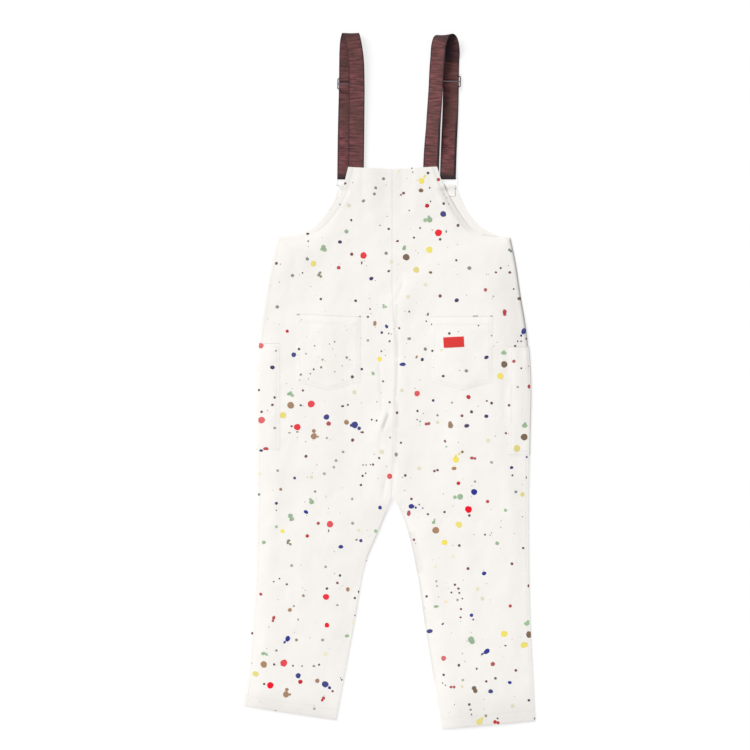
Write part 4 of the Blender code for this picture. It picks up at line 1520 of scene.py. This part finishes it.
class ClothSettings(bpy.types.PropertyGroup):
    """The cotton, its stitching and the label."""

    cloth_colour: colour_setting("Cloth", "Colour of the cotton", (0.97, 0.945, 0.905))
    cloth_shade: colour_setting("Cloth shade", "Colour of the cotton's duller threads", (0.93, 0.90, 0.86))
    thread_colour: colour_setting("Thread", "Colour of the stitching thread", (0.90, 0.87, 0.84))
    thickness: length_setting("Thickness", "Thickness of the cotton", 0.0010)
    stitch_pitch: length_setting("Stitch pitch", "From one stitch to the next", 0.0036)
    stitch_length: length_setting("Stitch length", "Length of a stitch", 0.0027)
    thread: length_setting("Thread width", "Thickness of the thread", 0.0005)
    label_colour: colour_setting("Label", "Colour of the plain woven label", (0.90, 0.045, 0.040))


class StrapSettings(bpy.types.PropertyGroup):
    """The webbing and the metal on it."""

    webbing_colour: colour_setting("Webbing", "Colour of the webbing", (0.060, 0.018, 0.023))
    webbing_light: colour_setting("Webbing light", "Colour of its paler weft", (0.245, 0.078, 0.082))
    webbing_faded: colour_setting("Webbing faded", "Colour of its faded patches", (0.092, 0.045, 0.034))
    # Colour of the darker edges, and of the painted shade in the folds, the loop and round the ring
    webbing_dark: colour_setting("Webbing dark", "Colour of its selvedges and folds", (0.014, 0.009, 0.016))
    metal_colour: colour_setting("Rings", "Colour of the rings", (0.70, 0.68, 0.67))
    slider_colour: colour_setting("Sliders", "Colour of the sliders", (0.17, 0.13, 0.15))
    metal_roughness: bpy.props.FloatProperty(
        name="Metal roughness", description="How dull the metal is", default=0.3, min=0, max=1,
        subtype="FACTOR")


class PrintSettings(bpy.types.PropertyGroup):
    """The printed paint."""

    specks: bpy.props.IntProperty(
        name="Specks", description="How many tiny specks the back carries", default=240, min=0)
    pocket_splashes: bpy.props.IntProperty(
        name="Pocket splashes", description="How many random splashes the left pocket carries",
        default=15, min=0)
    front_splashes: bpy.props.IntProperty(
        name="Front splashes", description="How many splashes the front carries", default=320, min=26)
    proud: length_setting("Lift", "How far the print stands off the cloth", 0.00025)


class StageSettings(bpy.types.PropertyGroup):
    """The light, the floor and the camera."""

    world: bpy.props.FloatProperty(
        name="Sky", description="Strength of the even light from all round", default=0.45)
    key: bpy.props.FloatProperty(
        name="Key", description="Strength of the soft lamp", default=2.6)
    camera_height: length_setting("Camera height", "Height of the camera", 4.0)
    view_width: length_setting("View width", "Width of what the camera sees", 1.725)


class OverallsSettings(bpy.types.PropertyGroup):
    """All that a user of the overalls would change."""

    cloth: bpy.props.PointerProperty(type=ClothSettings)
    strap: bpy.props.PointerProperty(type=StrapSettings)
    ink: bpy.props.PointerProperty(type=PrintSettings)
    stage: bpy.props.PointerProperty(type=StageSettings)


# ---------------------------------------------------------------- operators


def panel_grid(layer, side, steps, columns, gathered):
    """Places on a panel, row by row from its outer to its inner edge, gathered towards both."""
    outer, inner = panel_outline(layer, side, steps)
    t = np.linspace(0, 1, columns)
    share = ((1 - gathered) * t + gathered * ease(t))[None, :, None]
    flat = outer[:, None] * (1 - share) + inner[:, None] * share
    return flat[..., 0], flat[..., 1]


class OVERALLS_OT_back(bpy.types.Operator):
    """Makes the two back panels."""

    bl_idname = "overalls.back"
    bl_label = "Back panels"

    def execute(self, context):
        settings = context.scene.overalls.cloth
        lines = [("outer", SEAM_ROW, 1.2), ("hem", HEM_ROW, 1.4)]
        material = cloth_of(settings, "cotton_back", lines)
        for side in SIDES:
            x, y = panel_grid("back", side, *BACK_GRID)
            gaps = seam_gaps(x, y)
            points = np.dstack([x, y, back_top(x, y, gaps)])
            # Painted shade along the back's creases, seams and edges, kept at each vertex
            named = {"outer": gaps[0], "hem": gaps[3], "painted_shade": painted_shade(x, y, gaps[0]) / MM}
            soft_piece(
                f"back_{side}", points, material, wall=(settings.thickness / MM, 0.15),
                rests_on=f"front_{side}", uv=points[..., :2], gaps=named, up=True,
            )
        return {"FINISHED"}


class OVERALLS_OT_front(bpy.types.Operator):
    """Makes the two front panels, which lie underneath."""

    bl_idname = "overalls.front"
    bl_label = "Front panels"

    def execute(self, context):
        settings = context.scene.overalls.cloth
        lines = [("outer", SEAM_ROW, 1.6), ("hem", HEM_ROW, 1.8)]
        material = cloth_of(settings, "cotton_front", lines)
        for side in SIDES:
            x, y = panel_grid("front", side, *FRONT_GRID)
            gaps = front_gaps(x, y)
            points = np.dstack([x, y, front_under(x, y, gaps)])
            soft_piece(
                f"front_{side}", points, material, wall=(settings.thickness / MM, 0.35),
                uv=points[..., :2], gaps={"outer": gaps[0], "hem": gaps[2]}, up=False,
            )
        return {"FINISHED"}


class OVERALLS_OT_pockets(bpy.types.Operator):
    """Makes the back pockets, the side pockets and the plain label."""

    bl_idname = "overalls.pockets"
    bl_label = "Pockets and label"

    def execute(self, context):
        settings = context.scene.overalls.cloth
        rows = [("edge", depth, 1.0) for depth in POCKET_ROWS]
        back = cloth_of(settings, "cotton_pocket", [*rows, ("below", POCKET_HEM, 1.0)])
        flank = cloth_of(settings, "cotton_side_pocket", rows)
        for side in SIDES:
            self.make_back_pocket(side, back)
        for side in SIDES:
            self.make_side_pocket(side, flank)
        self.make_label(settings)
        return {"FINISHED"}

    def make_back_pocket(self, side, material):
        """A pointed patch: rows from its slanting mouth down to its bottom edge."""
        left, right, top_left, top_right, low, point_x, point_y = BACK_POCKETS[side]
        across = np.linspace(0, 1, POCKET_GRID[0])[None, :]
        down = np.linspace(0, 1, POCKET_GRID[1])[:, None]
        point = (point_x - left) / (right - left)
        top = top_left + (top_right - top_left) * across
        bottom = np.interp(across, (0, point, 1), (low, point_y, low))
        y = top * (1 - down) + bottom * down
        x = np.broadcast_to(left + (right - left) * across, y.shape)
        points = np.dstack([x, y, back_pocket_top(x, y)])
        edge = distance_to(x, y, pocket_line(side))
        # Painted shade under the pocket's mouth, kept at each vertex
        soft_piece(
            f"pocket_back_{side}", points, material, wall=(POCKET_CLOTH, 0.2),
            rests_on=f"back_{side}", uv=points[..., :2], up=True,
            gaps={"edge": edge, "below": top - y, "painted_shade": mouth_shade(top - y)},
        )

    def make_side_pocket(self, side, material):
        """One ply on the back, a round turn at the side seam, and one ply under the front."""
        top, bottom, inner_back, inner_front = SIDE_POCKETS[side]
        sign = math.copysign(1.0, inner_back)
        rows, upper_columns, turn_columns, lower_columns = FLANK_GRID
        y = np.linspace(top, bottom, rows)[:, None]
        line = OUTLINES["back"][side][0][UNDERARM_ROW:][::-1]
        edge = np.interp(y, line[:, 1], line[:, 0])
        fold = edge - sign * FLANK_INSET
        upper_x = inner_back + (fold - inner_back) * np.linspace(0, 1, upper_columns)[None, :]
        upper_z = side_pocket_top(upper_x, np.broadcast_to(y, upper_x.shape))
        swing = np.linspace(0, math.pi, turn_columns + 2)[None, 1:-1]
        turn_x = fold + sign * FLANK_BULGE * np.sin(swing)
        turn_z = upper_z[:, -1:] / 2 + upper_z[:, -1:] / 2 * np.cos(swing)
        lower_x = fold + (inner_front - fold) * np.linspace(0, 1, lower_columns)[None, :]
        x = np.hstack([upper_x, turn_x, lower_x])
        z = np.hstack([upper_z, turn_z, np.zeros_like(lower_x)])
        points = np.dstack([x, np.broadcast_to(y, x.shape), z])
        gap = np.broadcast_to(np.minimum(top - y, y - bottom), x.shape).copy()
        gap[:, :upper_columns] = np.minimum(gap, np.abs(x - inner_back))[:, :upper_columns]
        tall = (top - bottom) * MM
        # Painted shade under the side pocket's mouth, kept at each vertex
        obj = soft_piece(
            f"pocket_side_{side}", points, material, wall=(POCKET_CLOTH, 0.2),
            rests_on=f"back_{side}", cut=(surface_area(points) / tall, tall),
            gaps={"edge": gap, "painted_shade": np.broadcast_to(mouth_shade(top - y), x.shape)},
        )
        if sign > 0:
            obj.data.flip_normals()

    def make_label(self, settings):
        """A plain woven label, sewn on at its ends and lifting a little between them."""
        x0, y0, width, tall, turn = LABEL
        angle = math.radians(turn)
        across = np.linspace(-width / 2, width / 2, LABEL_GRID[0])[None, :]
        down = np.linspace(tall / 2, -tall / 2, LABEL_GRID[1])[:, None]
        x = x0 + across * math.cos(angle) - down * math.sin(angle)
        y = y0 + across * math.sin(angle) + down * math.cos(angle)
        bow = LABEL_BOW * np.cos(across / width * math.pi) * np.ones_like(down)
        z = back_pocket_top(x, y) + LABEL_GAP + LABEL_CLOTH + bow
        colour = settings.label_colour
        shade = tuple(0.6 * part + 0.02 for part in colour)
        soft_piece(
            "label", np.dstack([x, y, z]), finish_of("label_red", cotton, shade, colour, bump=1.6),
            name="woven_label", wall=(LABEL_CLOTH, 0.25), slot="label",
            rests_on="pocket_back_right", cut=(width * MM, tall * MM),
            uv=np.dstack(np.broadcast_arrays(across, down)), up=True,
        )


def band_piece(solid, side, band, width, material, **named):
    """A band of webbing or cloth that is folded over: its flat size, its width by its route, is handed on
    but not used.
    """
    points, uv, length = band
    soft_piece(
        f"{solid}_{side}", points, material, held="folded", rests_on=f"front_{side}",
        cut=(width * MM, length * MM), uv=uv, wrap=True, **named,
    )


class OVERALLS_OT_straps(bpy.types.Operator):
    """Makes the two webbing straps and the cotton tabs that hold their rings."""

    bl_idname = "overalls.straps"
    bl_label = "Straps and tabs"

    def execute(self, context):
        settings = context.scene.overalls
        strap = settings.strap
        webbing = finish_of(
            "webbing_brown", webbing_finish, strap.webbing_colour, strap.webbing_light,
            strap.webbing_faded, strap.webbing_dark,
        )
        for side in SIDES:
            self.make_strap(side, webbing)
            self.make_tab(side, cloth_of(settings.cloth, "cotton_tab"))
        return {"FINISHED"}

    def make_strap(self, side, material):
        """The webbing, with painted shade in its loop, where it turns over, and along a rolled edge."""
        route, roll, lean, (over, under) = strap_route(side)
        across, out = band_frame(route, roll, lean)
        points, uv, length = band_points(route, across, out, STRAP_WIDTH, WEBBING)
        points[..., 2] = np.maximum(points[..., 2], 0.0)
        # Painted shade over the turn, inside the loop, round the ring and along the right strap's rolled
        # edge
        aside = uv[..., 0] / STRAP_WIDTH * 2
        rolled = STRAP_ROLLED_SHADE[side] * ease((ROLLED_TOP - points[..., 1]) / ROLLED_FADE)
        rolled = rolled * ease((aside - 0.66) / 0.16)
        within = (points[..., 2] < SHOULDER[side][2]) * (points[..., 1] > SLIDER_Y[side])
        outside = ((points - route[:, None]) * out[:, None]).sum(axis=2) > 0
        shade = np.where(outside, over[:, None], under[:, None])
        shade = shade * (1 - 0.5 * ease((aside + 0.7) / 1.2) * within)
        shade = np.clip(np.maximum(shade, rolled), 0, 1) / MM
        band_piece(
            "strap", side, (points, uv, length), STRAP_WIDTH, material, name=f"webbing_{side}",
            slot="webbing", gaps={"painted_strap_shade": shade},
        )

    def make_tab(self, side, material):
        """A strip folded through the ring and sewn to the corner of the front."""
        bar_z = WEBBING + WIRE / 2 + GAP
        radius = WIRE / 2 + GAP + TAB_CLOTH / 2
        bend = np.linspace(-math.pi / 2, math.pi / 2, RING_POINTS)
        low = bar_z - radius
        turn = zip(RING_Y[0] + radius * np.cos(bend), bar_z + radius * np.sin(bend))
        seat = CLOTH + GAP + TAB_CLOTH / 2
        under = ((y, low) for y in TAB_UNDER)
        route = [*under, *turn, *TAB_RUN, *((y, seat) for y in TAB_SEAT)]
        y, z = np.array(route).T
        line = np.column_stack([np.full(len(y), TAB_X[side]), y, z])
        across, out = band_frame(line, np.zeros(len(y)), 0.0)
        band = band_points(line, across, out, TAB_WIDTH, TAB_CLOTH)
        band_piece("tab", side, band, TAB_WIDTH, material)


class OVERALLS_OT_metal(bpy.types.Operator):
    """Gives the sliders and rings their plated finish."""

    bl_idname = "overalls.metal"
    bl_label = "Metal"

    def execute(self, context):
        settings = context.scene.overalls.strap
        for kind, colour in (("ring", settings.metal_colour), ("slider", settings.slider_colour)):
            material = finish_of(f"metal_{kind}", metal_finish, colour, settings.metal_roughness)
            for side in SIDES:
                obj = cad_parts[f"{kind}_{side}"]
                obj.data.materials.clear()
                obj.data.materials.append(material)
        return {"FINISHED"}


def back_paths(side):
    """Lines of stitches on a back panel: outseam, armhole, leg hem and top hem."""
    outer, inner = OUTLINES["back"][side]
    inward = 1.0 if side == "left" else -1.0
    seam = inset(outer[UNDERARM_ROW:], SEAM_ROW * inward)
    armhole = inset(outer[: UNDERARM_ROW + 1], ARMHOLE_ROW * inward)
    hem = HEM_LINES[side] + np.array([0.0, HEM_ROW])
    top = np.array([outer[0], inner[0]]) - np.array([0.0, TOP_ROW])
    rows = ((seam, SEAM_ENDS), (armhole, ARMHOLE_ENDS), (hem, HEM_ENDS), (top, TOP_ENDS))
    return [cut_line(line, *ends) for line, ends in rows]


def pocket_paths(side):
    """Lines of stitches on a back pocket: two round its sides and point, one under its mouth."""
    loop, line = pocket_loop(side), pocket_line(side)
    paths = []
    for depth in POCKET_ROWS:
        shrunk = line + np.sign(loop.mean(axis=0) - line) * np.array([depth, depth * 0.9])
        shrunk[[0, -1], 1] = line[[0, -1], 1] - MOUTH_START
        paths.append(cut_line(shrunk, *POCKET_ENDS))
    return [*paths, cut_line(loop[:2] - np.array([0.0, POCKET_HEM]), *POCKET_HEM_ENDS)]


def side_pocket_paths(side):
    """Lines of stitches on a side pocket: two round its inner side, its top and its bottom."""
    top, bottom, inner, _ = SIDE_POCKETS[side]
    sign = math.copysign(1.0, inner)
    line = OUTLINES["back"][side][0][::-1]
    start, end = np.interp([top, bottom], line[:, 1], line[:, 0]) - sign * SEAM_STOP
    return [
        cut_line(np.array([
            (start, top - depth), (inner + sign * depth, top - depth),
            (inner + sign * depth, bottom + depth), (end, bottom + depth),
        ], float), *SIDE_POCKET_ENDS)
        for depth in POCKET_ROWS
    ]


def tack_paths():
    """Short upright rows side by side: each bar tack is a dense bar of thread."""
    return [
        np.array([(across, y - TACK_HEIGHT), (across, y + TACK_HEIGHT)])
        for x, y, width in TACKS
        for across in np.arange(x - width / 2, x + width / 2, TACK_PITCH)
    ]


class OVERALLS_OT_stitching(bpy.types.Operator):
    """Sews the rows of stitches and the bar tacks."""

    bl_idname = "overalls.stitching"
    bl_label = "Stitching"

    def execute(self, context):
        settings = context.scene.overalls.cloth
        pitch, length, thread = (
            value / MM for value in (settings.stitch_pitch, settings.stitch_length, settings.thread)
        )
        colour = settings.thread_colour
        dull = tuple(TACK_SHADE * part for part in colour)
        pale = finish_of("thread", cotton, colour, colour, bump=0.5)
        grey = finish_of("thread_dull", cotton, dull, dull, bump=0.5)
        for name, paths, height in (
            ("stitches_back", back_paths, back_top),
            ("stitches_pocket_back", pocket_paths, back_pocket_top),
            ("stitches_pocket_side", side_pocket_paths, side_pocket_top),
        ):
            rows = [path for side in SIDES for path in paths(side)]
            trim(stitch_rows(name, rows, height, pitch, length, thread), pale)
        trim(stitch_rows("bar_tacks", tack_paths(), back_pocket_top, pitch, *TACK_STITCH), grey)
        return {"FINISHED"}


class OVERALLS_OT_print(bpy.types.Operator):
    """Prints the paint: charted splashes and tiny specks on the back, random ones on the front."""

    bl_idname = "overalls.print"
    bl_label = "Print"

    def execute(self, context):
        settings = context.scene.overalls.ink
        rng = np.random.default_rng(PRINT_SEED)
        odds = np.array([row[3] for row in INKS.values()])
        odds /= odds.sum()
        places = random_places(rng, LOOPS["back"], settings.specks, spare=2)
        kinds = rng.choice(len(INKS), len(places), p=odds)
        specks = by_ink(places, rng.uniform(*SPECK_SIZES, len(places)), kinds)
        hidden = self.hidden_splashes(settings.pocket_splashes, odds)
        for ink in INKS:
            for title, rows, corners, rings in (
                (f"print_{ink}", [*SPLASHES[ink], *hidden[ink]], *SPLASH_MESH),
                (f"specks_{ink}", specks[ink], *SPECK_MESH),
            ):
                x, y, dx, dy = splash_outlines(rows, rng, corners)
                dx, dy, owner = kept_on_piece(x, y, dx, dy)
                x, y = fan_points(x, y, dx, dy, rings)
                z = top_of(x, y, np.broadcast_to(owner[:, None], x.shape)) + settings.proud / MM
                self.lay(title, ink, np.dstack([x, y, z]), splash_faces(len(rows), corners, rings))
        self.print_front(settings, rng)
        return {"FINISHED"}

    @staticmethod
    def hidden_splashes(count, odds):
        """Random small splashes on the left back pocket, which the chart leaves bare."""
        rng = np.random.default_rng(POCKET_SEED)
        places = random_places(rng, pocket_loop("left", -POCKET_CLEAR), count, spare=2)
        sizes = random_sizes(rng, len(places), *POCKET_SIZES)
        return by_ink(places, sizes, rng.choice(len(INKS), len(places), p=odds))

    @staticmethod
    def lay(title, ink, points, faces):
        """A piece of print in one ink, each splash carrying its own load of paint from 0 to 1."""
        obj = put(title, points.reshape(-1, 3), faces)
        loads = np.random.default_rng(len(points)).uniform(0, 1, len(points))
        mark(obj, "load", np.repeat(loads, points.shape[1]))
        trim(obj, finish_of(f"ink_{ink}", ink_finish, INKS[ink][:3]))

    def print_front(self, settings, rng):
        """Splashes on the lower face of the front, clear of its edges and of the side pockets."""
        corners, rings = FRONT_MESH

        def clear(x, y):
            free = np.minimum.reduce(front_gaps(x, y)) > FRONT_CLEAR
            for top, bottom, _, inner in SIDE_POCKETS.values():
                beside = x * math.copysign(1.0, inner) > abs(inner) - FRONT_CLEAR
                free &= ~(beside & (y < top + FRONT_CLEAR) & (y > bottom - FRONT_CLEAR))
            return free

        places = random_places(
            rng, LOOPS["front"], settings.front_splashes, spare=3, fits=clear
        )
        sizes = random_sizes(rng, len(places), *FRONT_SIZES)
        for ink, rows in by_ink(places, sizes, rng.choice(len(INKS), len(places))).items():
            x, y = fan_points(*splash_outlines(rows, rng, corners), rings)
            z = front_under(x, y, front_gaps(x, y)) - settings.proud / MM
            faces = [face[::-1] for face in splash_faces(len(rows), corners, rings)]
            self.lay(f"print_front_{ink}", ink, np.dstack([x, y, z]), faces)


class OVERALLS_OT_stage(bpy.types.Operator):
    """Sets the floor, the soft light and the camera looking straight down."""

    bl_idname = "overalls.stage"
    bl_label = "Stage"

    def execute(self, context):
        settings, scene = context.scene.overalls.stage, context.scene
        scene.view_settings.view_transform = "Standard"
        self.make_floor()
        self.make_sky(scene, settings.world)
        self.make_lamp(scene, settings.key)
        camera = bpy.data.objects.new("camera", bpy.data.cameras.new("camera"))
        camera.data.sensor_width = SENSOR
        camera.data.lens = SENSOR * settings.camera_height / settings.view_width
        camera.data.clip_end = 100.0
        camera.location = (*CAMERA_XY, settings.camera_height)
        scene.collection.objects.link(camera)
        scene.camera = camera
        return {"FINISHED"}

    def make_floor(self):
        """A wide flat floor just under the garment, lit as grey and seen as white."""
        corners = [
            (x * FLOOR_SIZE, y * FLOOR_SIZE, FLOOR_Z) for x, y in ((-1, -1), (1, -1), (1, 1), (-1, 1))
        ]
        floor = put("floor", corners, [[0, 1, 2, 3]], smooth=False)
        material, tree, shader = blank("floor_white", {
            "Roughness": 0.95, "Base Color": FLOOR_GREY, "Specular IOR Level": 0.0,
            "Emission Color": WHITE,
        })
        fill(tree, shader, {"Emission Strength": times(tree, seen(tree), FLOOR_GLOW)})
        floor.data.materials.append(material)

    def make_sky(self, scene, light):
        """An even white sky, brighter where the eye or a mirror sees it than where it lights."""
        world = bpy.data.worlds.new("sky")
        world.use_nodes = True
        tree = world.node_tree
        strength = maths(tree, "ADD", times(tree, seen(tree), 1.0 - light), light)
        fill(tree, tree.nodes["Background"], {"Color": WHITE, "Strength": strength})
        scene.world = world

    def make_lamp(self, scene, strength):
        """A distant soft lamp shining from a direction."""
        data = bpy.data.lights.new("key", "SUN")
        data.energy = strength
        data.angle = math.radians(KEY_SPREAD)
        lamp = bpy.data.objects.new("key", data)
        x, y, z = KEY_FROM
        lamp.rotation_euler = (math.atan2(math.hypot(x, y), z), 0.0, math.atan2(x, -y))
        scene.collection.objects.link(lamp)


class OVERALLS_PT_panel(bpy.types.Panel):
    """Lists the steps and what can be changed."""

    bl_label = "Overalls"
    bl_space_type = "VIEW_3D"
    bl_region_type = "UI"
    bl_category = "Overalls"

    def draw(self, context):
        for operator in OPERATORS:
            self.layout.operator(operator.bl_idname)
        settings = context.scene.overalls
        for part in (settings.cloth, settings.strap, settings.ink, settings.stage):
            box = self.layout.box()
            for key in part.bl_rna.properties.keys():
                if key not in ("rna_type", "name"):
                    box.prop(part, key)


OPERATORS = (
    OVERALLS_OT_stage, OVERALLS_OT_front, OVERALLS_OT_back, OVERALLS_OT_pockets,
    OVERALLS_OT_straps, OVERALLS_OT_metal, OVERALLS_OT_stitching, OVERALLS_OT_print,
)
CLASSES = (
    ClothSettings, StrapSettings, PrintSettings, StageSettings, OverallsSettings,
    *OPERATORS, OVERALLS_PT_panel,
)


def register():
    for item in CLASSES:
        bpy.utils.register_class(item)
    bpy.types.Scene.overalls = bpy.props.PointerProperty(type=OverallsSettings)


def unregister():
    del bpy.types.Scene.overalls
    for item in reversed(CLASSES):
        bpy.utils.unregister_class(item)


def main():
    """Makes everything in order."""
    register()
    for make in (weave_group, sewn_line_group, ribbed_group):
        make()
    for operator in OPERATORS:
        module, name = operator.bl_idname.split(".")
        getattr(getattr(bpy.ops, module), name)()


if __name__ == "__main__":
    main()
